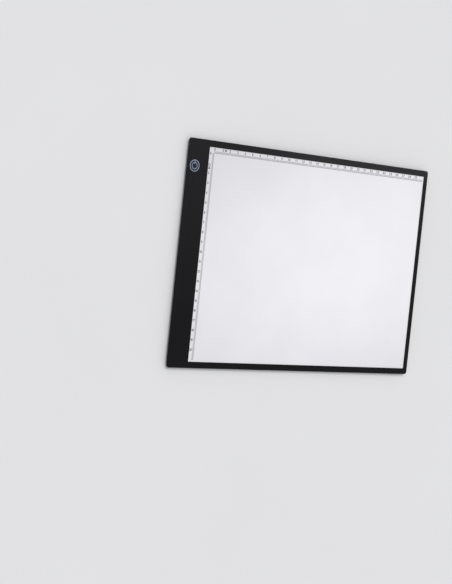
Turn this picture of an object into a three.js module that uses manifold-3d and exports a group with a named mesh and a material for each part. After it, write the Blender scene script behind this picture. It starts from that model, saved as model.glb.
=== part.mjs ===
// A slim A4 LED light box for tracing, lying face up on its rubber feet.
// +X runs along the long side, away from the wide bar that carries the touch key, and +Y towards the
// edge with the power socket. +Z is up, and the origin is under the middle, on the table.
import * as THREE from "three";
import { mergeVertices } from "three/addons/utils/BufferGeometryUtils.js";
import Module from "manifold-3d";

const wasm = await Module();
wasm.setup();

// Named sizes, all in millimetres

// Face: a black frame round the lit window, wide on the left
const faceWidth = 341;
const faceHeight = 232;
const barWidth = 25.7;
const rightBorder = 6;
const topBorder = 6.8;
const bottomBorder = 6.6;
const cornerRadius = 2.8;
const leastRadius = 0.4;
const faceRound = 0.8;
const windowChamfer = 0.3;

// Sheets, from the table up
const footProud = 1;
const coverFloor = 0.8;
const reflectorThickness = 0.15;
const guideThickness = 1.6;
const diffuserThickness = 0.15;
const rimTapeThickness = 0.1;
const panelThickness = 1.1;
const panelTapeThickness = 0.1;
const lipThickness = 0.65;
const sheetGap = 0.05;

// Edge: an upright rim on the frame, and a flank on the cover that slopes in under it
const rimHeight = 2;
const rimThickness = 1.3;
const partGap = 0.1;
const partChamfer = 0.15;
const bevelInset = 3;
const flankThickness = 1.2;
const soleRound = 0.4;

// Snap tabs that stand on the cover inside the frame's rim, and the skirt that they grip
const tabClearance = 0.15;
const tabThickness = 0.6;
const tabLength = 10;
const tabEndInset = 22;
const tabRoot = 0.1;
const hookDepth = 0.25;
const hookHeight = 0.35;
const hookClearance = 0.1;
const skirtThickness = 1;
const longSideTabs = 5;
const shortSideTabs = 3;

// Drawing panel and its tape
const panelLead = 3;
const panelClearance = 0.3;
const panelCorner = 0.8;
const tapeInset = 0.4;

// Light guide, films and the tape on their rim
const guideLead = 3.4;
const guideClearance = 0.6;
const padThickness = 0.8;
const padLength = 26;
const padFromMiddle = 62;
const rimTapeWidth = 1.6;
const rimTapeInset = 0.2;
const notchFromWindow = 12;
const notchLength = 7;
const notchDepth = 1.3;
const pegClearance = 0.2;

// Light strip, stood on edge against the guide
const ledCount = 20;
const ledLength = 3;
const ledHeight = 1.4;
const ledDepth = 0.75;
const ledGap = 0.2;
const ledEndInset = 6;
const ledWindowInset = 0.3;
const ledWindowDepth = 0.15;
const stripThickness = 0.6;
const stripClearance = 0.15;
const stripEndInset = 3;
const solderLength = 9;
const thermalTapeThickness = 0.1;
const railThickness = 0.8;
const railFootWidth = 2.6;
const railFootThickness = 0.5;
const railStopCount = 4;
const railStopLength = 6;
const railStopWidth = 1.2;
const railStopHeight = 0.6;
const railStopGap = 0.1;

// Bar of the frame, over the electronics
const barPlate = 1.2;

// Power socket
const shellWidth = 7.5;
const shellHeight = 2.5;
const shellDepth = 5.2;
const shellSheet = 0.3;
const shellCorner = 0.8;
const shellSetback = 0.6;
const shellFloorGap = 0.2;
const shellRoofGap = 0.3;
const earWidth = 0.9;
const earLength = 1.4;
const earThickness = 0.3;
const tongueFit = 0.1;
const tongueBaseDepth = 1.2;
const tongueWidth = 3.8;
const tongueThickness = 0.6;
const tongueLength = 2.9;
const tongueDrop = 0.3;
const portGap = 0.15;
const lugWidth = 13;
const lugSlope = 2.6;
const lugInset = 0.2;
const lugRise = 0.25;

// Control board
const boardThickness = 0.8;
const boardLength = 60;
const boardGap = 0.3;
const boardRailGap = 0.8;
const boardSink = 0.5;
const boardHoleFit = 0.15;

// Touch key
const keyFromLeft = 8.5;
const keyFromTop = 27.6;
const lensRadius = 6.7;
const lensThickness = 0.6;
const lensSetback = 0.05;
const lensFit = 0.1;
const lensEdge = 0.1;
const lensLedge = 1.2;
const foamClearance = 1;
const foamBore = 1.7;
const indicatorLength = 1.6;
const indicatorWidth = 0.8;
const indicatorBase = 0.3;
const indicatorDome = 0.3;
const indicatorDomeLength = 1;

// Chips and parts on the board, most of them below the key
const chipStandoff = 0.1;
const legThickness = 0.18;
const legWidth = 0.4;
const legReach = 1;
const legPitch = 1.27;
const touchChipLength = 4.9;
const touchChipWidth = 3.9;
const touchChipHeight = 1;
const touchChipLegs = 4;
const touchChipBelowKey = 8.8;
const driverChipLength = 3;
const driverChipWidth = 3;
const driverChipHeight = 0.9;
const driverChipLegs = 2;
const chipFromEdge = 4.4;
const inductorWidth = 4;
const inductorBase = 0.4;
const inductorCore = 0.7;
const inductorCoreRadius = 1.8;
const partFromRailEdge = 3.6;
const capacitorLength = 3.2;
const capacitorWidth = 1.6;
const capacitorHeight = 1;
const capacitorEnd = 0.5;
const capacitorRim = 0.08;
const inputCapacitorFromTop = 5.3;
const partSpacing = 0.65;

// Wires from the board to the light strip
const wireDiameter = 0.9;
const wirePitch = 2;
const wireRun = 8.5;
const wireRise = 4;
const wireSides = 8;
const wireSteps = 16;
const wireGap = 0.1;

// Screws
const caseScrewHead = 1.9;
const caseScrewHeadDepth = 0.9;
const caseScrewShaft = 0.75;
const caseScrewFit = 0.12;
const caseScrewEndInset = 10;
const caseScrewKeepOff = 8;
const caseScrewCount = 4;
const collarRadius = 3;
const collarHeight = 0.5;
const bossRadius = 2.5;
const pilotRoof = 0.8;
const tipGap = 0.3;
const driveWidth = 0.35;
const driveDepth = 0.5;
const driveShare = 0.68;
const boardScrewHead = 1.5;
const boardScrewHeadHeight = 0.65;
const boardScrewShaft = 0.6;
const boardScrewInset = 2.3;
const boardScrewTipGap = 0.1;
const postRadius = 1.9;
const pilotFloor = 0.3;
const restFromTop = 8;

// Rubber feet
const footRadius = 5;
const footRecess = 0.3;
const footFit = 0.15;
const footChamfer = 0.35;
const footFromSide = 21;
const footFromEnd = 26;

// Steps of round shapes, and the run of a cut past what it cuts
const cornerSteps = 6;
const roundSteps = 4;
const discSides = 32;
const screwSides = 20;
const overrun = 1;
const weldDistance = 1e-4;

// Levels worked out from the sheets and from the socket
const floorTop = footProud + coverFloor;
const reflectorBase = floorTop + sheetGap;
const guideBase = reflectorBase + reflectorThickness + sheetGap;
const guideTop = guideBase + guideThickness;
const diffuserBase = guideTop + sheetGap;
const rimTapeBase = diffuserBase + diffuserThickness + sheetGap;
const panelBase = rimTapeBase + rimTapeThickness + sheetGap;
const panelTapeBase = panelBase + panelThickness + sheetGap;
const lipBase = panelTapeBase + panelTapeThickness + sheetGap;
const shellBase = floorTop + shellFloorGap;
const socketRoof = shellBase + shellHeight + shellRoofGap;
const faceTop = Math.max(lipBase + lipThickness, socketRoof + barPlate);
const barUnderside = faceTop - barPlate;
const partingLevel = faceTop - rimHeight;
const bevelHeight = partingLevel - footProud;
const boardBase = shellBase + boardSink;
const boardTop = boardBase + boardThickness;
const lensBase = faceTop - lensSetback - lensThickness;
const tabTop = lipBase - 2 * sheetGap;
const wellRadius = lensRadius - lensLedge;

// Places across the face
const leftEdge = -faceWidth / 2;
const rightEdge = faceWidth / 2;
const topEdge = faceHeight / 2;
const bottomEdge = -faceHeight / 2;
const tabInset = rimThickness + tabClearance;
const tabInner = tabInset + tabThickness;
const skirtInset = tabInner + hookDepth + hookClearance;
const skirtInner = skirtInset + skirtThickness;
const foamRadius = Math.min(wellRadius - foamClearance, keyFromLeft - skirtInner - boardGap);
const windowRect = {
  left: leftEdge + barWidth,
  right: rightEdge - rightBorder,
  bottom: bottomEdge + bottomBorder,
  top: topEdge - topBorder,
};
const faceRect = { left: leftEdge, right: rightEdge, bottom: bottomEdge, top: topEdge };
const pocketRect = shrink(faceRect, skirtInner);
const panelRect = {
  ...shrink(pocketRect, panelClearance),
  left: windowRect.left - panelLead,
};
const guideRect = {
  left: windowRect.left - guideLead,
  right: pocketRect.right - padThickness - 2 * sheetGap,
  bottom: pocketRect.bottom + guideClearance,
  top: pocketRect.top - guideClearance,
};
const ledRight = guideRect.left - ledGap;
const stripRight = ledRight - ledDepth - sheetGap;
const thermalTapeRight = stripRight - stripThickness - sheetGap;
const railRight = thermalTapeRight - thermalTapeThickness - sheetGap;
const railLeft = railRight - railThickness;
const railFootLeft = railLeft - railFootWidth;
const stripRect = {
  bottom: guideRect.bottom + stripEndInset,
  top: guideRect.top - stripEndInset,
};
const boardRect = {
  left: pocketRect.left + boardGap,
  right: railLeft - boardRailGap,
  bottom: pocketRect.top - boardGap - boardLength,
  top: pocketRect.top - boardGap,
};
const keyX = leftEdge + keyFromLeft;
const keyY = topEdge - keyFromTop;
const portX = (boardRect.left + boardRect.right) / 2;
const shellFront = topEdge - shellSetback;
const shellBack = shellFront - shellDepth;
const caseScrewX = (pocketRect.left + railFootLeft) / 2;
const caseScrewPlaces = spread(
  pocketRect.bottom + caseScrewEndInset,
  boardRect.bottom - caseScrewKeepOff,
  caseScrewCount,
);
const postColumns = [
  boardRect.left + boardScrewInset,
  railFootLeft - railStopGap - postRadius,
];
const boardScrewPlaces = postColumns.map((x) => [x, boardRect.bottom + boardScrewInset]);
const boardRestPlaces = postColumns.map((x) => [x, boardRect.top - restFromTop]);
const footPlaces = [-1, 0, 1].flatMap((column) =>
  [-1, 1].map((row) => [
    column * (rightEdge - footFromEnd),
    row * (topEdge - footFromSide),
  ]),
);

// Plain helpers

function shrink(rect, by) {
  return {
    left: rect.left + by,
    right: rect.right - by,
    bottom: rect.bottom + by,
    top: rect.top - by,
  };
}

// Evenly spaced places from first to last.
function spread(first, last, count) {
  return Array.from({ length: count }, (_, k) => first + ((last - first) * k) / (count - 1));
}

// How far in from the face's outline the outside of the cover's flank stands at a level.
function flankInset(level) {
  return (bevelInset * (partingLevel - level)) / bevelHeight;
}

// The level at which the inside of the flank, or else the floor, is met at an inset.
function flankLevel(inset) {
  const drop = ((inset - flankThickness) * bevelHeight) / bevelInset;
  return Math.max(partingLevel - drop, floorTop);
}

// Solids and geometry

function toSolid(geometry) {
  const loose = geometry.index ? geometry.toNonIndexed() : geometry;
  const bare = new THREE.BufferGeometry();
  bare.setAttribute("position", loose.getAttribute("position"));
  const merged = mergeVertices(bare, weldDistance);
  const mesh = new wasm.Mesh({
    numProp: 3,
    vertProperties: merged.attributes.position.array,
    triVerts: new Uint32Array(merged.index.array),
  });
  return new wasm.Manifold(mesh);
}

function toGeometry(solid) {
  const mesh = solid.getMesh();
  const geometry = new THREE.BufferGeometry();
  geometry.setAttribute("position", new THREE.BufferAttribute(mesh.vertProperties, mesh.numProp));
  geometry.setIndex(new THREE.BufferAttribute(mesh.triVerts, 1));
  geometry.computeVertexNormals();
  return geometry;
}

function join(first, ...others) {
  return others.reduce((whole, other) => whole.add(other), first);
}

function cut(first, ...others) {
  return others.reduce((whole, other) => whole.subtract(other), first);
}

// A box between two corners, as a geometry and as a solid.
function boxGeometry(rect, low, high) {
  const geometry = new THREE.BoxGeometry(
    rect.right - rect.left,
    rect.top - rect.bottom,
    high - low,
  );
  geometry.translate(
    (rect.left + rect.right) / 2,
    (rect.bottom + rect.top) / 2,
    (low + high) / 2,
  );
  return geometry;
}

function box(rect, low, high) {
  return toSolid(boxGeometry(rect, low, high));
}

function centredRect(x, y, width, height) {
  return {
    left: x - width / 2,
    right: x + width / 2,
    bottom: y - height / 2,
    top: y + height / 2,
  };
}

// The points of a rectangle with round corners, anticlockwise, at one level.
function roundedRing(rect, radius, level) {
  const corners = [
    [rect.right - radius, rect.bottom + radius, -Math.PI / 2],
    [rect.right - radius, rect.top - radius, 0],
    [rect.left + radius, rect.top - radius, Math.PI / 2],
    [rect.left + radius, rect.bottom + radius, Math.PI],
  ];
  return corners.flatMap(([x, y, start]) =>
    Array.from({ length: cornerSteps + 1 }, (_, k) => {
      const angle = start + ((Math.PI / 2) * k) / cornerSteps;
      return new THREE.Vector3(x + radius * Math.cos(angle), y + radius * Math.sin(angle), level);
    }),
  );
}

// The face's outline drawn in by an inset, at one level.
function faceRing(inset, level) {
  return roundedRing(
    shrink(faceRect, inset),
    Math.max(cornerRadius - inset, leastRadius),
    level,
  );
}

// A solid skinned over rings of as many points each, from the lowest ring up, with flat ends.
function loft(rings) {
  const count = rings[0].length;
  const index = [];
  for (let layer = 0; layer + 1 < rings.length; layer++) {
    for (let k = 0; k < count; k++) {
      const a = layer * count + k;
      const b = layer * count + ((k + 1) % count);
      index.push(a, b, b + count, a, b + count, a + count);
    }
  }
  const last = (rings.length - 1) * count;
  for (let k = 1; k + 1 < count; k++) {
    index.push(0, k + 1, k);
    index.push(last, last + k, last + k + 1);
  }
  const geometry = new THREE.BufferGeometry().setFromPoints(rings.flat());
  geometry.setIndex(index);
  return toSolid(geometry);
}

// A shape with round corners.
function roundedShape(rect, radius) {
  const shape = new THREE.Shape();
  shape.moveTo(rect.left + radius, rect.bottom);
  shape.lineTo(rect.right - radius, rect.bottom);
  shape.absarc(rect.right - radius, rect.bottom + radius, radius, -Math.PI / 2, 0);
  shape.lineTo(rect.right, rect.top - radius);
  shape.absarc(rect.right - radius, rect.top - radius, radius, 0, Math.PI / 2);
  shape.lineTo(rect.left + radius, rect.top);
  shape.absarc(rect.left + radius, rect.top - radius, radius, Math.PI / 2, Math.PI);
  shape.lineTo(rect.left, rect.bottom + radius);
  shape.absarc(rect.left + radius, rect.bottom + radius, radius, Math.PI, Math.PI * 1.5);
  return shape;
}

function outlineShape(points) {
  return new THREE.Shape(points.map(([x, y]) => new THREE.Vector2(x, y)));
}

function extrude(shape, depth) {
  return new THREE.ExtrudeGeometry(shape, {
    depth,
    bevelEnabled: false,
    curveSegments: cornerSteps,
  });
}

// A flat ring between two rectangles.
function ringGeometry(outer, inner, thickness) {
  const shape = outlineShape([
    [outer.left, outer.bottom],
    [outer.right, outer.bottom],
    [outer.right, outer.top],
    [outer.left, outer.top],
  ]);
  shape.holes.push(
    new THREE.Path([
      new THREE.Vector2(inner.left, inner.bottom),
      new THREE.Vector2(inner.left, inner.top),
      new THREE.Vector2(inner.right, inner.top),
      new THREE.Vector2(inner.right, inner.bottom),
    ]),
  );
  return extrude(shape, thickness);
}

// A turned piece about an upright axis, from [radius, height] pairs that run from the bottom up.
function turned(profile, sides) {
  const points = profile.map(([radius, height]) => new THREE.Vector2(radius, height));
  return new THREE.LatheGeometry(points, sides).rotateX(Math.PI / 2);
}

function cylinder(x, y, radius, low, high, sides) {
  const geometry = new THREE.CylinderGeometry(radius, radius, high - low, sides);
  geometry.rotateX(Math.PI / 2).translate(x, y, (low + high) / 2);
  return toSolid(geometry);
}

// A cone's frustum about an upright axis, wider at the bottom.
function frustum(x, y, lowRadius, highRadius, low, high, sides) {
  const geometry = new THREE.CylinderGeometry(highRadius, lowRadius, high - low, sides);
  geometry.rotateX(Math.PI / 2).translate(x, y, (low + high) / 2);
  return toSolid(geometry);
}

// A block beside one edge of the face: along it from its place, and inwards from near to far.
function besideEdge(side, place, length, near, far, low, high) {
  const spans = {
    left: centredRect(leftEdge + (near + far) / 2, place, far - near, length),
    right: centredRect(rightEdge - (near + far) / 2, place, far - near, length),
    top: centredRect(place, topEdge - (near + far) / 2, length, far - near),
    bottom: centredRect(place, bottomEdge + (near + far) / 2, length, far - near),
  };
  return box(spans[side], low, high);
}

// Places of the snap tabs on the four edges. Those on the long sides keep off the bar.
function tabPlaces() {
  const along = spread(windowRect.left + tabEndInset, rightEdge - tabEndInset, longSideTabs);
  const across = spread(bottomEdge + tabEndInset, topEdge - 2 * tabEndInset, shortSideTabs);
  return [
    ...along.map((place) => ["top", place]),
    ...along.map((place) => ["bottom", place]),
    ...across.map((place) => ["left", place]),
    ...across.map((place) => ["right", place]),
  ];
}

// Room for the power socket through the rim, skirt and flank.
function portOpening() {
  const rect = {
    left: portX - shellWidth / 2 - portGap,
    right: portX + shellWidth / 2 + portGap,
    bottom: pocketRect.top - overrun,
    top: topEdge + overrun,
  };
  return box(rect, shellBase - portGap, shellBase + shellHeight + portGap);
}

// Front frame: rim, lip, bar, skirt, screw bosses and the seat of the key's lens

function frameOuter() {
  const edge = Array.from({ length: roundSteps + 1 }, (_, k) => {
    const angle = ((Math.PI / 2) * k) / roundSteps;
    return faceRing(
      faceRound * (1 - Math.cos(angle)),
      faceTop - faceRound * (1 - Math.sin(angle)),
    );
  });
  return loft([
    faceRing(partChamfer, partingLevel),
    faceRing(0, partingLevel + partChamfer),
    ...edge,
  ]);
}

function frameSkirt() {
  const bottom = flankLevel(skirtInset - tabClearance) + sheetGap;
  const outer = loft([faceRing(skirtInset, bottom), faceRing(skirtInset, lipBase + sheetGap)]);
  const inner = box(pocketRect, bottom - overrun, lipBase + overrun);
  return { solid: cut(outer, inner), bottom };
}

function windowOpening() {
  return loft([
    roundedRing(windowRect, windowChamfer / 2, lipBase - overrun),
    roundedRing(windowRect, windowChamfer / 2, faceTop - windowChamfer),
    roundedRing(shrink(windowRect, -windowChamfer), windowChamfer, faceTop),
    roundedRing(shrink(windowRect, -windowChamfer), windowChamfer, faceTop + overrun),
  ]);
}

// Pegs on the skirt that keep the light guide from sliding to or from the light strip.
function guidePegs(bottom) {
  const left = windowRect.left + notchFromWindow + pegClearance;
  const right = left + notchLength - 2 * pegClearance;
  const reach = guideClearance + notchDepth - pegClearance;
  const upper = { left, right, bottom: pocketRect.top - reach, top: pocketRect.top + sheetGap };
  const lower = {
    left,
    right,
    bottom: pocketRect.bottom - sheetGap,
    top: pocketRect.bottom + reach,
  };
  return [box(upper, bottom, guideTop), box(lower, bottom, guideTop)];
}

function frontFrame() {
  const hollow = loft([
    faceRing(rimThickness, partingLevel - overrun),
    faceRing(rimThickness, lipBase),
  ]);
  const skirt = frameSkirt();
  const barRect = { ...pocketRect, right: panelRect.left - panelClearance };
  const barBlock = box(shrink(barRect, -sheetGap), barUnderside, lipBase + sheetGap);
  const barTrim = box(
    { ...barRect, left: barRect.right, right: barRect.right + overrun },
    barUnderside - overrun,
    lipBase,
  );
  const hooks = tabPlaces().map(([side, place]) =>
    besideEdge(
      side,
      place,
      tabLength,
      skirtInset - hookDepth,
      skirtInset + sheetGap,
      tabTop - 2 * hookHeight - hookClearance,
      tabTop - hookHeight - hookClearance,
    ),
  );
  const bosses = caseScrewPlaces.map((y) =>
    cylinder(
      caseScrewX,
      y,
      bossRadius,
      floorTop + collarHeight + sheetGap,
      lipBase,
      screwSides,
    ),
  );
  const pilots = caseScrewPlaces.map((y) =>
    cylinder(
      caseScrewX,
      y,
      caseScrewShaft + caseScrewFit,
      floorTop,
      faceTop - pilotRoof,
      screwSides,
    ),
  );
  const lensSeat = cylinder(
    keyX,
    keyY,
    lensRadius + lensFit,
    lensBase - sheetGap,
    faceTop + overrun,
    discSides,
  );
  const lensWell = cylinder(
    keyX,
    keyY,
    wellRadius,
    barUnderside - overrun,
    faceTop,
    discSides,
  );
  const body = join(cut(frameOuter(), hollow), skirt.solid, cut(barBlock, barTrim));
  const dressed = join(body, ...hooks, ...bosses, ...guidePegs(skirt.bottom));
  return toGeometry(
    cut(dressed, windowOpening(), ...pilots, lensSeat, lensWell, portOpening()),
  );
}

// Back cover: floor, sloping flank, snap tabs, posts, collars, and the lug round the power socket

function coverOuter() {
  const soleTop = footProud + soleRound / 2;
  return loft([
    faceRing(bevelInset + soleRound / 2, footProud),
    faceRing(flankInset(soleTop), soleTop),
    faceRing(0, partingLevel - partGap - partChamfer),
    faceRing(partChamfer, partingLevel - partGap),
  ]);
}

function coverHollow() {
  return loft([
    faceRing(flankInset(floorTop) + flankThickness, floorTop),
    faceRing(flankThickness, partingLevel),
    faceRing(flankThickness, partingLevel + overrun),
  ]);
}

function snapTabs() {
  const rootLevel = flankLevel(tabInner) - tabRoot;
  return tabPlaces().flatMap(([side, place]) => [
    besideEdge(side, place, tabLength, tabInset, tabInner, rootLevel, tabTop),
    besideEdge(
      side,
      place,
      tabLength,
      tabInner - sheetGap,
      tabInner + hookDepth,
      tabTop - hookHeight,
      tabTop,
    ),
  ]);
}

// An upright block on the flank that brings the socket's surround out to the edge.
function portLug() {
  const inner = pocketRect.top;
  const outer = topEdge - lugInset;
  const shape = outlineShape([
    [portX - lugWidth / 2 - lugSlope, inner],
    [portX + lugWidth / 2 + lugSlope, inner],
    [portX + lugWidth / 2, outer],
    [portX - lugWidth / 2, outer],
  ]);
  const base = footProud + lugRise;
  const block = toSolid(extrude(shape, partingLevel - partGap - base).translate(0, 0, base));
  const skirtRoom = {
    left: portX - lugWidth,
    right: portX + lugWidth,
    bottom: inner - overrun,
    top: topEdge - rimThickness + tabClearance,
  };
  const floorRoom = { ...skirtRoom, top: inner + sheetGap };
  return cut(
    block,
    box(skirtRoom, flankLevel(skirtInset) - tabClearance, faceTop),
    box(floorRoom, floorTop, faceTop),
  );
}

// Blocks on the floor that the light strip's rail stands against.
function railStops() {
  const places = spread(
    stripRect.bottom + caseScrewEndInset,
    boardRect.bottom - caseScrewKeepOff,
    railStopCount,
  );
  return places.map((y) => {
    const rect = {
      left: railFootLeft - railStopGap - railStopWidth,
      right: railFootLeft - railStopGap,
      bottom: y - railStopLength / 2,
      top: y + railStopLength / 2,
    };
    return box(rect, floorTop - sheetGap, floorTop + railStopHeight);
  });
}

function backCover() {
  const tray = cut(coverOuter(), coverHollow());
  const collars = caseScrewPlaces.map((y) =>
    cylinder(
      caseScrewX,
      y,
      collarRadius,
      floorTop - sheetGap,
      floorTop + collarHeight,
      screwSides,
    ),
  );
  const posts = [...boardScrewPlaces, ...boardRestPlaces].map(([x, y]) =>
    cylinder(x, y, postRadius, floorTop - sheetGap, boardBase - sheetGap, screwSides),
  );
  const screwHoles = caseScrewPlaces.flatMap((y) => [
    cylinder(
      caseScrewX,
      y,
      caseScrewShaft + 2 * caseScrewFit,
      footProud - overrun,
      floorTop + collarHeight + overrun,
      screwSides,
    ),
    frustum(
      caseScrewX,
      y,
      caseScrewHead + caseScrewFit,
      caseScrewShaft + caseScrewFit,
      footProud,
      footProud + caseScrewHeadDepth + caseScrewFit,
      screwSides,
    ),
  ]);
  const pilots = boardScrewPlaces.map(([x, y]) =>
    cylinder(
      x,
      y,
      boardScrewShaft + caseScrewFit,
      footProud + pilotFloor,
      boardBase + overrun,
      screwSides,
    ),
  );
  const recesses = footPlaces.map(([x, y]) =>
    cylinder(
      x,
      y,
      footRadius + footFit,
      footProud - overrun,
      footProud + footRecess,
      discSides,
    ),
  );
  const body = join(tray, ...snapTabs(), ...collars, ...posts, ...railStops(), portLug());
  return toGeometry(cut(body, ...screwHoles, ...pilots, ...recesses, portOpening()));
}

// Sheets of the light stack

function drawingPanel() {
  return extrude(roundedShape(panelRect, panelCorner), panelThickness);
}

function panelTape() {
  return ringGeometry(
    shrink(panelRect, tapeInset),
    shrink(windowRect, -tapeInset),
    panelTapeThickness,
  );
}

function rimTape() {
  const outer = shrink(guideRect, rimTapeInset);
  return ringGeometry(outer, shrink(outer, rimTapeWidth), rimTapeThickness);
}

// The light guide, with a notch in each long edge for the frame's pegs.
function lightGuide() {
  const { left, right, bottom, top } = guideRect;
  const notchLeft = windowRect.left + notchFromWindow;
  const notchRight = notchLeft + notchLength;
  const shape = outlineShape([
    [left, bottom],
    [notchLeft, bottom],
    [notchLeft, bottom + notchDepth],
    [notchRight, bottom + notchDepth],
    [notchRight, bottom],
    [right, bottom],
    [right, top],
    [notchRight, top],
    [notchRight, top - notchDepth],
    [notchLeft, top - notchDepth],
    [notchLeft, top],
    [left, top],
  ]);
  return extrude(shape, guideThickness);
}

function plainSheet(thickness) {
  return boxGeometry(guideRect, 0, thickness);
}

function guidePad() {
  const rect = centredRect(0, 0, padThickness, padLength);
  return boxGeometry(rect, 0, guideThickness - sheetGap);
}

// Light strip

function stripBoard() {
  const rect = { ...stripRect, left: stripRight - stripThickness, right: stripRight };
  return boxGeometry(rect, floorTop + stripClearance, barUnderside - stripClearance);
}

// The rail and its tape stop short of the strip's upper end, where the wires are soldered.
function thermalTape() {
  const rect = {
    left: thermalTapeRight - thermalTapeThickness,
    right: thermalTapeRight,
    bottom: stripRect.bottom,
    top: stripRect.top - solderLength,
  };
  return boxGeometry(rect, floorTop + stripClearance, barUnderside - stripClearance);
}

function ledRail() {
  const base = floorTop + sheetGap;
  const shape = outlineShape([
    [railFootLeft, base],
    [railRight, base],
    [railRight, barUnderside - stripClearance],
    [railLeft, barUnderside - stripClearance],
    [railLeft, base + railFootThickness],
    [railFootLeft, base + railFootThickness],
  ]);
  const length = stripRect.top - solderLength - stripRect.bottom;
  return extrude(shape, length).rotateX(Math.PI / 2).translate(0, length, 0);
}

// One light emitting diode, its window facing +X.
function ledPackage() {
  const body = box(centredRect(0, 0, ledDepth, ledLength), -ledHeight / 2, ledHeight / 2);
  const rim = ledHeight / 2 - ledWindowInset;
  const windowRoom = {
    left: ledDepth / 2 - ledWindowDepth,
    right: ledDepth / 2 + overrun,
    bottom: ledWindowInset - ledLength / 2,
    top: ledLength / 2 - ledWindowInset,
  };
  return toGeometry(cut(body, box(windowRoom, -rim, rim)));
}

// Control board and what is on it

function controlBoard() {
  const notchHalf = shellWidth / 2 + portGap;
  const notchFloor = shellBack - portGap;
  const { left, right, bottom, top } = boardRect;
  const shape = outlineShape([
    [left, bottom],
    [right, bottom],
    [right, top],
    [portX + notchHalf, top],
    [portX + notchHalf, notchFloor],
    [portX - notchHalf, notchFloor],
    [portX - notchHalf, top],
    [left, top],
  ]);
  const plate = toSolid(extrude(shape, boardThickness).translate(0, 0, boardBase));
  const holes = boardScrewPlaces.map(([x, y]) =>
    cylinder(
      x,
      y,
      boardScrewShaft + boardHoleFit,
      boardBase - overrun,
      boardTop + overrun,
      screwSides,
    ),
  );
  return toGeometry(cut(plate, ...holes));
}

// The socket's section seen from its mouth, drawn in by an inset.
function socketShape(inset) {
  const half = shellWidth / 2 - inset;
  const corner = shellCorner;
  return outlineShape([
    [corner - half, inset],
    [half - corner, inset],
    [half, inset + corner],
    [half, shellHeight - inset],
    [-half, shellHeight - inset],
    [-half, inset + corner],
  ]);
}

// Shell of the power socket, its mouth at y 0 facing +Y.
function usbShell() {
  const outer = toSolid(extrude(socketShape(0), shellDepth).rotateX(Math.PI / 2));
  const bore = extrude(socketShape(shellSheet), shellDepth - shellSheet + overrun);
  const cavity = toSolid(bore.rotateX(Math.PI / 2).translate(0, overrun, 0));
  const earY = -shellDepth + earLength / 2 + portGap;
  const earX = shellWidth / 2 + earWidth / 2 + portGap / 2;
  const earBase = boardTop + sheetGap - shellBase;
  const ears = [-1, 1].map((side) =>
    box(
      centredRect(side * (earX - sheetGap), earY, earWidth + portGap, earLength),
      earBase,
      earBase + earThickness,
    ),
  );
  return toGeometry(join(cut(outer, cavity), ...ears));
}

// Insulator in the socket: a base at the back and the tongue that carries the contacts.
function usbTongue() {
  const inset = shellSheet + tongueFit;
  const base = extrude(socketShape(inset), tongueBaseDepth).rotateX(Math.PI / 2);
  const rear = shellDepth - shellSheet - tongueFit;
  const block = toSolid(base.translate(0, tongueBaseDepth - rear, 0));
  const roof = shellHeight - inset - tongueDrop;
  const blade = {
    left: -tongueWidth / 2,
    right: tongueWidth / 2,
    bottom: sheetGap - rear,
    top: tongueBaseDepth + tongueLength - rear - sheetGap,
  };
  return toGeometry(join(block, box(blade, roof - tongueThickness, roof)));
}

// A chip with a row of bent legs along each long side, standing on z 0.
function chip(length, width, height, legsPerSide) {
  const body = box(centredRect(0, 0, width, length), chipStandoff, height);
  const places = spread(
    (-legPitch * (legsPerSide - 1)) / 2,
    (legPitch * (legsPerSide - 1)) / 2,
    legsPerSide,
  );
  const legs = places.flatMap((y) => {
    const foot = centredRect(0, y, width + 2 * legReach, legWidth);
    return [-1, 1].flatMap((side) => {
      const toe = side < 0 ? { ...foot, right: -width / 2 } : { ...foot, left: width / 2 };
      const shoulderX = (side * (width + legThickness)) / 2;
      const shoulder = centredRect(shoulderX, y, legThickness + 2 * sheetGap, legWidth);
      return [box(toe, 0, legThickness), box(shoulder, 0, height / 2)];
    });
  });
  return toGeometry(join(body, ...legs));
}

function inductor() {
  const base = box(centredRect(0, 0, inductorWidth, inductorWidth), 0, inductorBase);
  const core = cylinder(
    0,
    0,
    inductorCoreRadius,
    inductorBase - sheetGap,
    inductorBase + inductorCore,
    screwSides,
  );
  return toGeometry(join(base, core));
}

function capacitor() {
  const middle = box(
    centredRect(0, 0, capacitorWidth - 2 * capacitorRim, capacitorLength - capacitorEnd),
    capacitorRim,
    capacitorHeight - capacitorRim,
  );
  const ends = [-1, 1].map((side) =>
    box(
      centredRect(
        0,
        (side * (capacitorLength - capacitorEnd)) / 2,
        capacitorWidth,
        capacitorEnd,
      ),
      0,
      capacitorHeight,
    ),
  );
  return toGeometry(join(middle, ...ends));
}

function indicatorLed() {
  const base = box(centredRect(0, 0, indicatorLength, indicatorWidth), 0, indicatorBase);
  const dome = box(
    centredRect(0, 0, indicatorDomeLength, indicatorWidth),
    indicatorBase - sheetGap,
    indicatorBase + indicatorDome,
  );
  return toGeometry(join(base, dome));
}

// Touch key

function touchFoam() {
  const height = lensBase - boardTop - 2 * sheetGap;
  return turned(
    [
      [foamBore, 0],
      [foamRadius, 0],
      [foamRadius, height],
      [foamBore, height],
      [foamBore, 0],
    ],
    discSides,
  );
}

function keyLens() {
  return turned(
    [
      [0, 0],
      [lensRadius, 0],
      [lensRadius, lensThickness - lensEdge],
      [lensRadius - lensEdge, lensThickness],
      [0, lensThickness],
    ],
    discSides,
  );
}

// Wires

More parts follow.
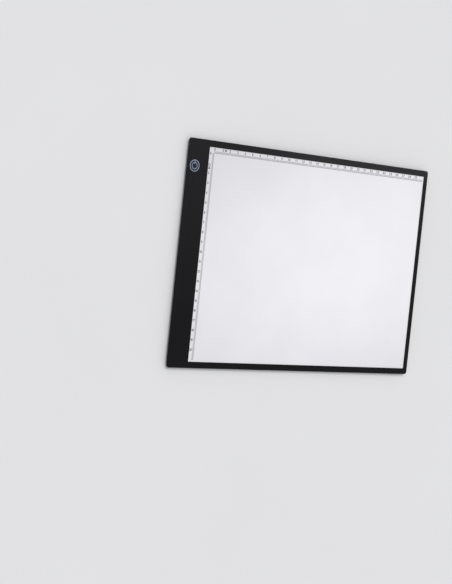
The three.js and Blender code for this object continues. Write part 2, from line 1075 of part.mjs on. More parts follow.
function wire(endY) {
  const level = boardTop + wireDiameter / 2 + wireGap;
  const endX = stripRight - stripThickness - wireGap;
  const startX = endX - wireRun;
  const middleX = (startX + endX) / 2;
  const path = new THREE.CubicBezierCurve3(
    new THREE.Vector3(startX, endY - wireRise, level),
    new THREE.Vector3(middleX, endY - wireRise, level),
    new THREE.Vector3(middleX, endY, level),
    new THREE.Vector3(endX, endY, level),
  );
  const section = new THREE.Shape();
  section.absarc(0, 0, wireDiameter / 2, 0, Math.PI * 2);
  return new THREE.ExtrudeGeometry(section, {
    steps: wireSteps,
    curveSegments: wireSides,
    extrudePath: path,
  });
}

// Screws

function driveRecess(headRadius, level, upwards) {
  const reach = headRadius * driveShare;
  const low = upwards ? level - driveDepth : level - overrun;
  const high = upwards ? level + overrun : level + driveDepth;
  return [
    box(centredRect(0, 0, 2 * reach, driveWidth), low, high),
    box(centredRect(0, 0, driveWidth, 2 * reach), low, high),
  ];
}

// A countersunk screw, head down at z 0.
function caseScrew() {
  const length = faceTop - pilotRoof - tipGap - footProud;
  const blank = turned(
    [
      [0, 0],
      [caseScrewHead, 0],
      [caseScrewHead, sheetGap],
      [caseScrewShaft, caseScrewHeadDepth],
      [caseScrewShaft, length - caseScrewShaft],
      [0, length],
    ],
    screwSides,
  );
  return toGeometry(cut(toSolid(blank), ...driveRecess(caseScrewHead, 0, false)));
}

// A pan head screw, the underside of its head at z 0.
function boardScrew() {
  const length = boardTop + sheetGap - (footProud + pilotFloor + boardScrewTipGap);
  const blank = turned(
    [
      [0, -length],
      [boardScrewShaft / 2, -length],
      [boardScrewShaft, boardScrewShaft - length],
      [boardScrewShaft, 0],
      [boardScrewHead, 0],
      [boardScrewHead, boardScrewHeadHeight / 2],
      [boardScrewHead * driveShare, boardScrewHeadHeight],
      [0, boardScrewHeadHeight],
    ],
    screwSides,
  );
  return toGeometry(
    cut(toSolid(blank), ...driveRecess(boardScrewHead, boardScrewHeadHeight, true)),
  );
}

function foot() {
  return turned(
    [
      [0, 0],
      [footRadius - footChamfer, 0],
      [footRadius, footChamfer],
      [footRadius, footProud + footRecess - sheetGap],
      [0, footProud + footRecess - sheetGap],
    ],
    discSides,
  );
}

// Finishes

function finish(color, roughness, metalness = 0, opacity = 1) {
  return new THREE.MeshStandardMaterial({
    color,
    roughness,
    metalness,
    opacity,
    transparent: opacity < 1,
  });
}

const blackPlastic = finish(0x222225, 0.55);
const opalAcrylic = finish(0xebeaf0, 0.25);
const clearAcrylic = finish(0xdfe8ec, 0.08, 0, 0.5);
const whiteFilm = finish(0xf2f2f2, 0.5);
const blackTape = finish(0x1c1c1e, 0.8);
const greyTape = finish(0x9a9ca0, 0.7);
const aluminium = finish(0xb8babd, 0.35, 1);
const whiteBoard = finish(0xe9ebe6, 0.4);
const greenBoard = finish(0x1f5a3a, 0.4);
const ledPlastic = finish(0xf3ecc8, 0.35);
const blackEpoxy = finish(0x1a1a1b, 0.5);
const ferrite = finish(0x3a3a3c, 0.7);
const ceramic = finish(0xb59a76, 0.5);
const steel = finish(0x9ea1a6, 0.3, 1);
const blackenedSteel = finish(0x3b3c3f, 0.4, 1);
const smokedLens = finish(0x141a26, 0.12);
const greyFoam = finish(0x4a4b4f, 0.95);
const redCable = finish(0xb02a24, 0.5);
const blackCable = finish(0x1d1d1e, 0.5);
const rubber = finish(0x2a2a2b, 0.9);

function piece(name, geometry, material, x = 0, y = 0, z = 0) {
  const mesh = new THREE.Mesh(geometry, material);
  mesh.name = name;
  mesh.position.set(x, y, z);
  return mesh;
}

function assembly(...members) {
  const group = new THREE.Group();
  group.add(...members);
  return group;
}

const caseShells = assembly(
  piece("front_frame", frontFrame(), blackPlastic),
  piece("back_cover", backCover(), blackPlastic),
);

const padX = pocketRect.right - sheetGap - padThickness / 2;
const lightStack = assembly(
  piece("drawing_panel", drawingPanel(), opalAcrylic, 0, 0, panelBase),
  piece("panel_tape", panelTape(), blackTape, 0, 0, panelTapeBase),
  piece("rim_tape", rimTape(), blackTape, 0, 0, rimTapeBase),
  piece("diffuser_film", plainSheet(diffuserThickness), whiteFilm, 0, 0, diffuserBase),
  piece("light_guide", lightGuide(), clearAcrylic, 0, 0, guideBase),
  piece("reflector_sheet", plainSheet(reflectorThickness), whiteFilm, 0, 0, reflectorBase),
  piece("guide_pad_upper", guidePad(), greyFoam, padX, padFromMiddle, guideBase),
  piece("guide_pad_lower", guidePad(), greyFoam, padX, -padFromMiddle, guideBase),
);

const ledShape = ledPackage();
const ledPlaces = spread(stripRect.bottom + ledEndInset, stripRect.top - ledEndInset, ledCount);
const leds = ledPlaces.map((y, k) =>
  piece(
    "led_" + String(k + 1).padStart(2, "0"),
    ledShape,
    ledPlastic,
    ledRight - ledDepth / 2,
    y,
    guideBase + guideThickness / 2,
  ),
);
const lightStrip = assembly(
  piece("led_strip_board", stripBoard(), whiteBoard),
  piece("thermal_tape", thermalTape(), greyTape),
  piece("led_rail", ledRail(), aluminium, 0, stripRect.bottom),
  ...leds,
);

const chipX = boardRect.left + chipFromEdge;
const partX = boardRect.right - partFromRailEdge;
const touchChipY = keyY - touchChipBelowKey;
const inductorTop = touchChipY - touchChipLength / 2 - partSpacing;
const driverTop = inductorTop - inductorWidth - partSpacing;
const solderLevel = boardTop + sheetGap;
const controls = assembly(
  piece("control_board", controlBoard(), greenBoard),
  piece("usb_shell", usbShell(), steel, portX, shellFront, shellBase),
  piece("usb_tongue", usbTongue(), blackEpoxy, portX, shellFront, shellBase),
  piece(
    "touch_chip",
    chip(touchChipLength, touchChipWidth, touchChipHeight, touchChipLegs),
    blackEpoxy,
    chipX,
    touchChipY,
    solderLevel,
  ),
  piece(
    "driver_chip",
    chip(driverChipLength, driverChipWidth, driverChipHeight, driverChipLegs),
    blackEpoxy,
    chipX,
    driverTop - driverChipLength / 2,
    solderLevel,
  ),
  piece("inductor", inductor(), ferrite, partX, inductorTop - inductorWidth / 2, solderLevel),
  piece(
    "input_capacitor",
    capacitor(),
    ceramic,
    chipX,
    boardRect.top - inputCapacitorFromTop,
    solderLevel,
  ),
  piece(
    "output_capacitor",
    capacitor(),
    ceramic,
    partX,
    driverTop - capacitorLength / 2,
    solderLevel,
  ),
  piece("indicator_led", indicatorLed(), ledPlastic, keyX, keyY, solderLevel),
  piece("touch_foam", touchFoam(), greyFoam, keyX, keyY, boardTop + sheetGap),
  piece("key_lens", keyLens(), smokedLens, keyX, keyY, lensBase),
);

const wireEndY = stripRect.top - solderLength / 2;
const wiring = assembly(
  piece("wire_positive", wire(wireEndY + wirePitch / 2), redCable),
  piece("wire_negative", wire(wireEndY - wirePitch / 2), blackCable),
);

const caseScrewShape = caseScrew();
const boardScrewShape = boardScrew();
const footShape = foot();
const fixings = assembly(
  ...caseScrewPlaces.map((y, k) =>
    piece("case_screw_" + (k + 1), caseScrewShape, blackenedSteel, caseScrewX, y, footProud),
  ),
  ...boardScrewPlaces.map(([x, y], k) =>
    piece("board_screw_" + (k + 1), boardScrewShape, steel, x, y, boardTop + sheetGap),
  ),
  ...footPlaces.map(([x, y], k) => piece("foot_" + (k + 1), footShape, rubber, x, y, 0)),
);

export default assembly(caseShells, lightStack, lightStrip, controls, wiring, fixings);
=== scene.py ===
# A slim light box for tracing on a pale floor. Shapes are in millimetres, finished pieces in metres.
import math
from functools import partial

import bmesh
import bpy
import numpy as np
from mathutils import Matrix, Vector


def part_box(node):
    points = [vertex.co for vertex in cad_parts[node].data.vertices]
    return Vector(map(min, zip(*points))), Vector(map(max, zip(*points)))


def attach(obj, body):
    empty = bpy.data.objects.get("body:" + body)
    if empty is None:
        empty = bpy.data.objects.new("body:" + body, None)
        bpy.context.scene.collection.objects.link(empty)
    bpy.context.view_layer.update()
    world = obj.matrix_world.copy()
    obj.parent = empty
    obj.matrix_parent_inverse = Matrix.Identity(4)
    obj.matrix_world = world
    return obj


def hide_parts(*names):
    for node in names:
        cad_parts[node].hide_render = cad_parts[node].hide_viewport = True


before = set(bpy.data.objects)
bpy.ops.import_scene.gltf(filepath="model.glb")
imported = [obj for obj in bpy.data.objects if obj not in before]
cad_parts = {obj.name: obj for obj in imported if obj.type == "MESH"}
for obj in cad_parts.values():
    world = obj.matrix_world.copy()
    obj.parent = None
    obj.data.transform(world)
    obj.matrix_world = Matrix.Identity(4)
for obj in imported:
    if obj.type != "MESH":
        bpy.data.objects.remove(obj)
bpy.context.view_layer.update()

MM = 0.001
BODY = "root"

# Sizes of the case in millimetres: borders round the window, edge shapes and levels above the floor
BAR_WIDTH = 25.7
RIGHT_BORDER = 6.0
TOP_BORDER = 6.8
BOTTOM_BORDER = 6.6
CORNER_RADIUS = 2.8
LEAST_RADIUS = 0.4
FACE_ROUND = 0.8
WINDOW_ROUND = 0.3
PART_CHAMFER = 0.15
PARTING_LEVEL = 4.0
COVER_TOP = 3.9
LIP_BASE = 5.35
BAR_UNDERSIDE = 4.8
RIM_THICKNESS = 1.3
SKIRT_INSET = 2.4
SKIRT_INNER = 3.4
SKIRT_BOTTOM = 3.0
SOLE_LEVEL = 1.0
FLOOR_TOP = 1.8
FLOOR_TURN = 0.2
BEVEL_INSET = 3.0
SOLE_ROUND = 0.7
FLANK_THICKNESS = 1.2
PANEL_CLEARANCE = 0.3
PANEL_CORNER = 0.8
PANEL_POLISH = 0.12

# Pegs that hold the light guide, from the left of the window, and stops behind the rail
GUIDE_TOP = 3.65
PEG_SPAN = (12.2, 18.8)
PEG_REACH = 1.7
STOP_COUNT = 4
STOP_HALF = 3.0
STOP_SPAN = (1.3, 0.1)
STOP_HEIGHT = 0.6
STOP_FROM_END = 10.0

# Snap tabs and the hooks that they grip
TABS_ALONG = 5
TABS_ACROSS = 3
TAB_LENGTH = 10.0
TAB_FROM_CORNER = 22.0
TAB_BELOW_KEY = 44.0
TAB_INSET = 1.45
TAB_INNER = 2.05
TAB_ROOT = 0.1
TAB_HOOK = 0.25
TAB_TOP = 5.25
TAB_HOOK_HEIGHT = 0.35
HOOK_LEVELS = (4.45, 4.8)
HOOK_INSET = 2.15

# Fixings
BOSS_RADIUS = 2.5
BOSS_LOW = 2.35
PILOT_RADIUS = 0.87
PILOT_TOP = 5.2
COLLAR_RADIUS = 3.0
COLLAR_TOP = 2.3
POST_RADIUS = 1.9
POST_TOP = 2.45
BOARD_MARGIN = 8.0
SCREW_HOLE_RADIUS = 0.99
COUNTERSINK_RADIUS = 2.12
COUNTERSINK_TOP = 2.02
BOARD_PILOT_RADIUS = 0.72
BOARD_PILOT_LOW = 1.3
FOOT_FIT = 0.15
FOOT_RECESS = 0.3
SLOT_WIDTH = 0.42
SLOT_TAPER = 0.62

# Socket, its tongue and contacts, measured from the front, and the lug round it
PORT_HALF = 3.75
PORT_HEIGHT = 2.5
PORT_CORNER = 0.8
PORT_BEND = 0.28
PORT_GAP = 0.15
SHELL_LENGTH = 5.2
SHELL_SHEET = 0.3
EAR_REACH = 1.0
EAR_SPAN = (0.15, 1.55)
INSULATOR_BACK = 4.8
INSULATOR_LENGTH = 1.2
INSULATOR_INSET = 0.4
TONGUE_HALF = 1.9
TONGUE_TOP = 1.8
TONGUE_THICKNESS = 0.6
TONGUE_LENGTH = 4.05
CONTACT_COUNT = 5
CONTACT_PITCH = 0.65
CONTACT_HALF = 0.17
CONTACT_DEPTH = 0.03
CONTACT_SPAN = (0.9, 3.55)
LUG_WIDTH = 13.0
LUG_SLOPE = 2.6
LUG_INSET = 0.2
LUG_RISE = 0.25
LUG_ROUND = 0.5
LUG_GAP = 0.15

# Key: its well, and the lit ring, arc and bar on its lens
LENS_FIT = 0.1
LENS_ROUND = 0.12
WELL_RADIUS = 5.5
WELL_CHAMFER = 0.12
SEAT_LEVEL = 5.3
RING_RADII = (5.25, 6.05)
ARC_RADII = (2.85, 3.6)
ARC_GAP = 10.0
BAR_HALF = 0.38
BAR_SPAN = (1.45, 5.4)
SYMBOL_SINK = 0.01
SYMBOL_RISE = 0.02

# Ruler, from the left and the top of the window: the zero and the line of each scale, and its numbers
ZERO_FROM_LEFT = 7.0
ZERO_FROM_TOP = 6.3
LINE_FROM_LEFT = 6.4
LINE_FROM_TOP = 5.7
NUMBERS_FROM_LEFT = 2.15
NUMBERS_FROM_TOP = 1.95
RULER_LENGTH = 300
RULER_DROP = 210
TICK_WIDTH = 0.31
TICK_REACH = (2.05, 2.2, 2.35)
LINE_WIDTH = 0.2
STROKE_WIDTH = 0.47
NUMBER_HEIGHT = 2.55
NUMBER_GAPS = (0.3, 0.11)
UNIT_HEIGHT = 2.55
UNIT_STROKE = 0.58
UNIT_GAPS = (0.45, 0.35)
UNIT_PLACE = 12.8
UNIT_DROP = 13.2
MITRE_LIMIT = 0.3
PRINT_SINK = 0.004
PRINT_THICKNESS = 0.012

# Small parts inside
LEG_REACH = 1.0
LEG_CLEARANCE = 0.03
MARK_INSET = (0.55, 0.6)
MARK_RADIUS = 0.3
MARK_CORE = 0.26
TRACE_HALF = 0.12
SOLDER_HEIGHT = 0.16
PAD_FROM_MIDDLE = 1.1
CAPACITOR_END = 0.5
LED_COUNT = 20
LED_RECESS = 0.15
PHOSPHOR_DEPTH = 0.03
RIPPLE_REACH = 9.0
RIPPLE_STRENGTH = 0.02
WIRE_BARE = 0.8
FOAM_BORE = 1.7

# Dots under the light guide, in millimetres, and their radii as shares of their pitch
DOT_PITCH = 1.6
DOT_DEPTH = 0.02
DOT_RADII = (0.14, 0.4)

# How finely and how sharply shapes are made, and how far shapes that are joined or cut run over
CORNER_STEPS = 12
ROUND_STEPS = 8
DISC_SIDES = 96
SMALL_SIDES = 40
CREASE_ANGLE = 30
LEAST_TURN = 25
OVERRUN = 1.0
TOUCH = 0.05

# The camera's turns about Z, X and Z in degrees, its place in metres and its lens; and the sun
CAMERA_TURNS = (-94.1, 39.04, 99.13)
CAMERA_PLACE = (-1.1237, 0.0369, 1.2654)
CAMERA_LENS = 97.2
SUN_WAY = (0.35, -0.45, -1.0)
SUN_STRENGTH = 1.3
SUN_SPREAD = 25
FLOOR_HALF = 3.0


# Places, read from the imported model

def span(node):
    """The lowest and highest corners of a CAD node, in millimetres."""
    low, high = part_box(node)
    return np.array(low) / MM, np.array(high) / MM


def middle(node):
    low, high = span(node)
    return (low + high) / 2


def middles(stem, count):
    return [middle("%s_%d" % (stem, k)) for k in range(1, count + 1)]


def radius_of(node):
    low, high = span(node)
    return (high[0] - low[0]) / 2


def levels_of(node):
    """The levels of a CAD node's underside and top."""
    return [corner[2] for corner in span(node)]


def inset(rect, by):
    """A rectangle, as left, bottom, right and top, drawn in on all sides."""
    return np.asarray(rect) + by * np.array([1, 1, -1, -1])


case_low, case_high = span("front_frame")
FACE = np.array([*case_low[:2], *case_high[:2]])
FACE_TOP = float(case_high[2])
WINDOW = FACE + np.array([BAR_WIDTH, BOTTOM_BORDER, -RIGHT_BORDER, -TOP_BORDER])
POCKET = inset(FACE, SKIRT_INNER)
PANEL_LOW, PANEL_HIGH = span("drawing_panel")
PRINT_LEVELS = (PANEL_HIGH[2] - PRINT_SINK, PANEL_HIGH[2] + PRINT_THICKNESS)
CASE_SCREWS = middles("case_screw", 4)
BOARD_SCREWS = middles("board_screw", 2)
FEET = middles("foot", 6)
KEY = middle("key_lens")
LENS_LOW, LENS_TOP = levels_of("key_lens")
LENS_RADIUS = radius_of("key_lens")
SOCKET_LOW, SOCKET_HIGH = span("usb_shell")
PORT_X = float(middle("usb_shell")[0])


# Surfaces: a shape is its points and a list of arrays of faces

def grid_faces(layers, count, closed):
    """Quads between neighbouring rings of a grid of points: each joins a point and the next of its
    ring to the pair in the ring after it. The last ring is joined to the first where closed."""
    layer = np.arange(layers if closed else layers - 1)[:, None]
    place = np.arange(count)[None]
    after = (place + 1) % count
    here, above = layer * count, (layer + 1) % layers * count
    corners = np.broadcast_arrays(here + place, here + after, above + after, above + place)
    return np.stack(corners, axis=-1).reshape(-1, 4)


def skin(rings, closed=False):
    """A surface skinned over rings of as many points each. Flat caps close its two ends, or the
    last ring runs into the first."""
    rings = np.asarray(rings, float)
    layers, count = rings.shape[:2]
    faces = [grid_faces(layers, count, closed)]
    if not closed:
        first = np.arange(count)[::-1]
        last = (layers - 1) * count + np.arange(count)
        faces += [first[None], last[None]]
    return rings.reshape(-1, 3), faces


def together(*shapes):
    """Several shapes as one, with the faces of each counted on from the points before it."""
    points = np.concatenate([shape[0] for shape in shapes])
    before = np.cumsum([0] + [len(shape[0]) for shape in shapes])
    faces = [part + start for (_, parts), start in zip(shapes, before) for part in parts]
    return points, faces


def at_level(flat, level):
    return np.column_stack([flat, np.full(len(flat), level)])


def unit(ways):
    return ways / np.linalg.norm(ways, axis=1, keepdims=True)


def arc_steps(start, end, steps):
    """Angles in radians from start to end, given in degrees."""
    return np.radians(np.linspace(start, end, steps + 1))


def round_over(radius, end=90, steps=ROUND_STEPS):
    """Steps round an edge: how far in from the side, and how far below the top, each point of a
    quarter circle lies, by the cosine and the sine of its angle."""
    turns = arc_steps(0, end, steps)
    return list(zip(radius * (1 - np.cos(turns)), radius * (1 - np.sin(turns))))


def rounded_ring(rect, radius, level):
    """A rectangle with round corners, anticlockwise at one level: each corner is a quarter circle
    about the point that lies a radius inside its two sides."""
    left, bottom, right, top = inset(rect, radius)
    centres = np.array([(right, bottom), (right, top), (left, top), (left, bottom)])
    turns = np.radians(90 * np.arange(-1, 3)[:, None] + np.linspace(0, 90, CORNER_STEPS + 1))
    arcs = np.stack([np.cos(turns), np.sin(turns)], axis=-1)
    return at_level((centres[:, None] + radius * arcs).reshape(-1, 2), level)


def face_rings(steps):
    """The outline of the face at each inset and level, its corners tighter by the inset."""
    return [
        rounded_ring(inset(FACE, by), max(CORNER_RADIUS - by, LEAST_RADIUS), level)
        for by, level in steps
    ]


def lathe(profile, x, y, sides=DISC_SIDES, closed=False):
    """A surface turned about an upright axis: every [radius, level] of the profile becomes a circle
    of as many points."""
    turns = np.linspace(0, 2 * np.pi, sides, endpoint=False)
    radii, levels = np.asarray(profile, float).T[..., None]
    rings = np.broadcast_arrays(x + radii * np.cos(turns), y + radii * np.sin(turns), levels)
    return skin(np.stack(rings, axis=-1), closed)


def turned(profile, places, sides=SMALL_SIDES):
    """One profile turned at each of several places."""
    return [lathe(profile, place[0], place[1], sides) for place in places]


def columns(places, radius, low, high, sides=SMALL_SIDES):
    return turned([[radius, low], [radius, high]], places, sides)


def softened(corners, radius, steps=5):
    """A convex outline with its corners softened: between the two points a radius away from a corner
    along its sides runs a parabola that bends towards the corner."""
    corners = np.asarray(corners, float)
    start = corners + radius * unit(np.roll(corners, 1, axis=0) - corners)
    end = corners + radius * unit(np.roll(corners, -1, axis=0) - corners)
    t = np.linspace(0, 1, steps + 1)[None, :, None]
    curve = (1 - t) ** 2 * start[:, None] + 2 * t * (1 - t) * corners[:, None] + t**2 * end[:, None]
    return curve.reshape(-1, 2)


def upright(outline, low, high):
    """A closed block over a flat outline, from one level to another."""
    return skin([at_level(outline, level) for level in (low, high)])


def block(rect, low, high):
    left, bottom, right, top = rect
    return upright([(left, bottom), (right, bottom), (right, top), (left, top)], low, high)


# Meshes

def to_mesh(shape):
    points, faces = shape
    mesh = bpy.data.meshes.new("work")
    mesh.from_pydata(points, [], [face for part in faces for face in part.tolist()])
    mesh.validate()
    return mesh


def shown(name, data):
    made = bpy.data.objects.new(name, data)
    bpy.context.scene.collection.objects.link(made)
    return made


def combined(body, other, operation):
    """The union or the difference of two closed meshes."""
    holder, tool = shown("holder", body), shown("tool", other)
    step = holder.modifiers.new("step", "BOOLEAN")
    step.operation = operation
    step.solver = "EXACT"
    step.object = tool
    depsgraph = bpy.context.evaluated_depsgraph_get()
    result = bpy.data.meshes.new_from_object(holder.evaluated_get(depsgraph))
    for spent in (holder, tool):
        bpy.data.objects.remove(spent)
    return result


def with_parts(body, *shapes):
    return combined(body, to_mesh(together(*shapes)), "UNION")


def without(body, *shapes):
    return combined(body, to_mesh(together(*shapes)), "DIFFERENCE")


def piece(name, mesh, material, slot, *stands_for):
    """Scales a mesh to metres and makes it a piece that rides on the body. Edges that turn more
    sharply than an angle stay crisp, and the others shade as round."""
    mesh.transform(Matrix.Scale(MM, 4))
    mesh.name = name
    mesh.materials.clear()
    mesh.materials.append(material)
    mesh.shade_smooth()
    mesh.set_sharp_from_angle(angle=math.radians(CREASE_ANGLE))
    made = shown(name, mesh)
    made.modifiers.new("weighted normals", "WEIGHTED_NORMAL").keep_sharp = True
    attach(made, BODY)
    if stands_for:
        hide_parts(*stands_for)
    return made


# Nodes of materials

def add(kind, inputs, tree=None, **settings):
    """The outputs of a new node. Its inputs take values or the outputs of other nodes, and it joins
    their tree unless one is given."""
    linked = {name: value for name, value in inputs.items() if isinstance(value, bpy.types.NodeSocket)}
    tree = tree or next(iter(linked.values())).id_data
    made = tree.nodes.new("ShaderNode" + kind)
    for name, value in settings.items():
        setattr(made, name, value)
    for name, value in inputs.items():
        if name in linked:
            tree.links.new(value, made.inputs[name])
        else:
            made.inputs[name].default_value = value
    return made.outputs


def calculate(operation, *values, clamp=False):
    return add("Math", dict(enumerate(values)), operation=operation, use_clamp=clamp)[0]


multiply = partial(calculate, "MULTIPLY")
subtract = partial(calculate, "SUBTRACT")
divide = partial(calculate, "DIVIDE")


def blend_colours(factor, *colours):
    """Colours are outputs, or their red, green and blue."""
    first, second = ((*c, 1.0) if isinstance(c, tuple) else c for c in colours)
    return add("Mix", {0: factor, 6: first, 7: second}, data_type="RGBA")[2]


def blend_values(factor, first, second):
    return add("Mix", {0: factor, 2: first, 3: second}, data_type="FLOAT")[0]


def ramp(value, low, high, start=0.0, end=1.0, kind="SMOOTHSTEP"):
    inputs = {"Value": value, "From Min": low, "From Max": high, "To Min": start, "To Max": end}
    return add("MapRange", inputs, interpolation_type=kind)["Result"]


def object_place(tree):
    return add("TexCoord", {}, tree)["Object"]


def noise(place, scale, detail):
    return add("TexNoise", {"Vector": place, "Scale": scale, "Detail": detail})[0]


def distance_from(place, x, y):
    """How far a point lies from an upright line through x and y."""
    flat = add("Mapping", {"Vector": place, "Location": (-x, -y, 0), "Scale": (1, 1, 0)})[0]
    return add("VectorMath", {0: flat}, operation="LENGTH")["Value"]


def new_group(name, inputs, outputs):
    """A shader node group, and its input and output nodes. Inputs are floats with a default."""
    tree = bpy.data.node_groups.new(name, "ShaderNodeTree")
    for label, value in inputs.items():
        socket = tree.interface.new_socket(name=label, in_out="INPUT", socket_type="NodeSocketFloat")
        socket.default_value = value
    for label in outputs:
        tree.interface.new_socket(name=label, in_out="OUTPUT", socket_type="NodeSocketFloat")
    return tree, tree.nodes.new("NodeGroupInput").outputs, tree.nodes.new("NodeGroupOutput").inputs


def grain_group():
    """Fine grain of a moulded or cast face, and slow mottling, both from noise in the object's own
    coordinates."""
    sizes = {"Grain Size": 0.0003, "Mottle Size": 0.02}
    tree, given, result = new_group("surface grain", sizes, ("Grain", "Mottle"))
    place = object_place(tree)
    mottle = noise(place, divide(1.0, given["Mottle Size"]), 4.0)
    tree.links.new(noise(place, divide(1.0, given["Grain Size"]), 2.0), result["Grain"])
    tree.links.new(ramp(mottle, 0.3, 0.7), result["Mottle"])
    return tree


def wear_group():
    """Edges rubbed bright: where a rounded normal leaves the real one, broken up by noise."""
    inputs = {"Width": 0.0003, "Patch Size": 0.006, "Amount": 0.5}
    tree, given, result = new_group("edge wear", inputs, ("Mask",))
    rounded = add("Bevel", {"Radius": given["Width"]}, samples=6)[0]
    real = add("NewGeometry", {}, tree)["Normal"]
    turn = add("VectorMath", {0: rounded, 1: real}, operation="DOT_PRODUCT")["Value"]
    patches = noise(object_place(tree), divide(1.0, given["Patch Size"]), 5.0)
    broken = multiply(ramp(turn, 0.995, 0.9), ramp(patches, 0.35, 0.65))
    tree.links.new(multiply(broken, given["Amount"], clamp=True), result["Mask"])
    return tree


def dust_group():
    """Fine dust on faces that look up: noise specks times how far the face looks up."""
    inputs = {"Speck Size": 0.0006, "Amount": 0.1}
    tree, given, result = new_group("dust", inputs, ("Mask",))
    place = object_place(tree)
    specks = noise(place, divide(1.0, given["Speck Size"]), 3.0)
    drift = noise(place, 14.0, 3.0)
    upwards = add("SeparateXYZ", {0: add("NewGeometry", {}, tree)["Normal"]})["Z"]
    cover = multiply(ramp(specks, 0.52, 0.72), ramp(drift, 0.3, 0.7))
    lying = multiply(cover, ramp(upwards, 0.6, 0.95))
    tree.links.new(multiply(lying, given["Amount"], clamp=True), result["Mask"])
    return tree


GRAIN = grain_group()
WEAR = wear_group()
DUST = dust_group()

# Each finish's darker and lighter colour and its least and greatest roughness; then in millimetres
# the sizes of its grain and of its mottling, and the depth of its relief
LOOKS = {
    "frame_plastic": ((0.0022, 0.0022, 0.003), (0.0034, 0.0034, 0.0044), (0.46, 0.56), 0.22, 30.0, 0.012),
    "cover_plastic": ((0.008, 0.008, 0.0095), (0.0115, 0.0115, 0.013), (0.55, 0.68), 0.4, 24.0, 0.03),
    "opal_acrylic": ((0.52, 0.518, 0.536), (0.55, 0.548, 0.566), (0.2, 0.27), 0.5, 60.0, 0.002),
    "key_lens": ((0.003, 0.006, 0.018), (0.004, 0.0075, 0.022), (0.09, 0.13), 0.4, 6.0, 0.0006),
    "key_light": ((0.1, 0.115, 0.15), (0.115, 0.13, 0.165), (0.2, 0.25), 0.3, 3.0, 0.001),
    "ruler_ink": ((0.02, 0.022, 0.045), (0.04, 0.043, 0.075), (0.35, 0.45), 0.12, 1.2, 0.002),
    "foot_rubber": ((0.016, 0.016, 0.017), (0.024, 0.024, 0.025), (0.75, 0.9), 0.15, 4.0, 0.02),
    "clear_acrylic": ((0.9, 0.94, 0.95), (0.93, 0.96, 0.97), (0.03, 0.06), 0.5, 40.0, 0.0005),
    "rail_aluminium": ((0.58, 0.59, 0.6), (0.66, 0.67, 0.68), (0.28, 0.4), 0.1, 9.0, 0.006),
    "white_board": ((0.76, 0.77, 0.75), (0.81, 0.82, 0.8), (0.3, 0.42), 0.15, 5.0, 0.004),
    "green_board": ((0.01, 0.075, 0.035), (0.015, 0.1, 0.048), (0.3, 0.42), 0.15, 5.0, 0.004),
    "led_plastic": ((0.78, 0.78, 0.75), (0.84, 0.84, 0.81), (0.3, 0.4), 0.05, 0.8, 0.01),
    "indicator_plastic": ((0.6, 0.66, 0.74), (0.68, 0.73, 0.8), (0.15, 0.25), 0.2, 0.5, 0.01),
    "chip_epoxy": ((0.012, 0.012, 0.013), (0.019, 0.019, 0.02), (0.5, 0.62), 0.08, 1.5, 0.01),
    "ceramic": ((0.36, 0.25, 0.15), (0.43, 0.31, 0.19), (0.32, 0.45), 0.07, 0.7, 0.01),
    "ferrite": ((0.03, 0.03, 0.032), (0.055, 0.055, 0.057), (0.6, 0.75), 0.1, 0.9, 0.02),
    "wire_red": ((0.4, 0.016, 0.013), (0.48, 0.024, 0.02), (0.28, 0.38), 0.1, 1.5, 0.004),
    "wire_black": ((0.01, 0.01, 0.011), (0.015, 0.015, 0.016), (0.28, 0.38), 0.1, 1.5, 0.004),
    "foam": ((0.052, 0.052, 0.055), (0.08, 0.08, 0.084), (0.85, 0.97), 0.12, 2.0, 0.06),
    "socket_steel": ((0.42, 0.42, 0.43), (0.5, 0.5, 0.51), (0.22, 0.34), 0.2, 2.5, 0.004),
    "case_screw_steel": ((0.035, 0.035, 0.037), (0.055, 0.055, 0.058), (0.35, 0.5), 0.2, 2.5, 0.004),
    "board_screw_steel": ((0.44, 0.44, 0.45), (0.55, 0.55, 0.56), (0.25, 0.4), 0.2, 2.5, 0.004),
    "contact_gilt": ((0.75, 0.5, 0.2), (0.85, 0.6, 0.27), (0.18, 0.28), 0.2, 2.5, 0.004),
    "black_insulator": ((0.011, 0.011, 0.011), (0.016, 0.016, 0.016), (0.4, 0.5), 0.2, 6.0, 0.01),
    "black_tape": ((0.009, 0.009, 0.01), (0.014, 0.014, 0.015), (0.32, 0.48), 0.3, 6.0, 0.004),
    "white_film": ((0.83, 0.83, 0.84), (0.87, 0.87, 0.88), (0.5, 0.65), 0.06, 6.0, 0.002),
    "thermal_tape": ((0.29, 0.3, 0.32), (0.36, 0.37, 0.39), (0.7, 0.85), 0.12, 3.0, 0.01),
    "floor": ((0.8, 0.8, 0.815), (0.815, 0.815, 0.83), (0.85, 0.95), 1.5, 200.0, 0.02),
}
UNLIT = (0.0, 0.0, 0.0)


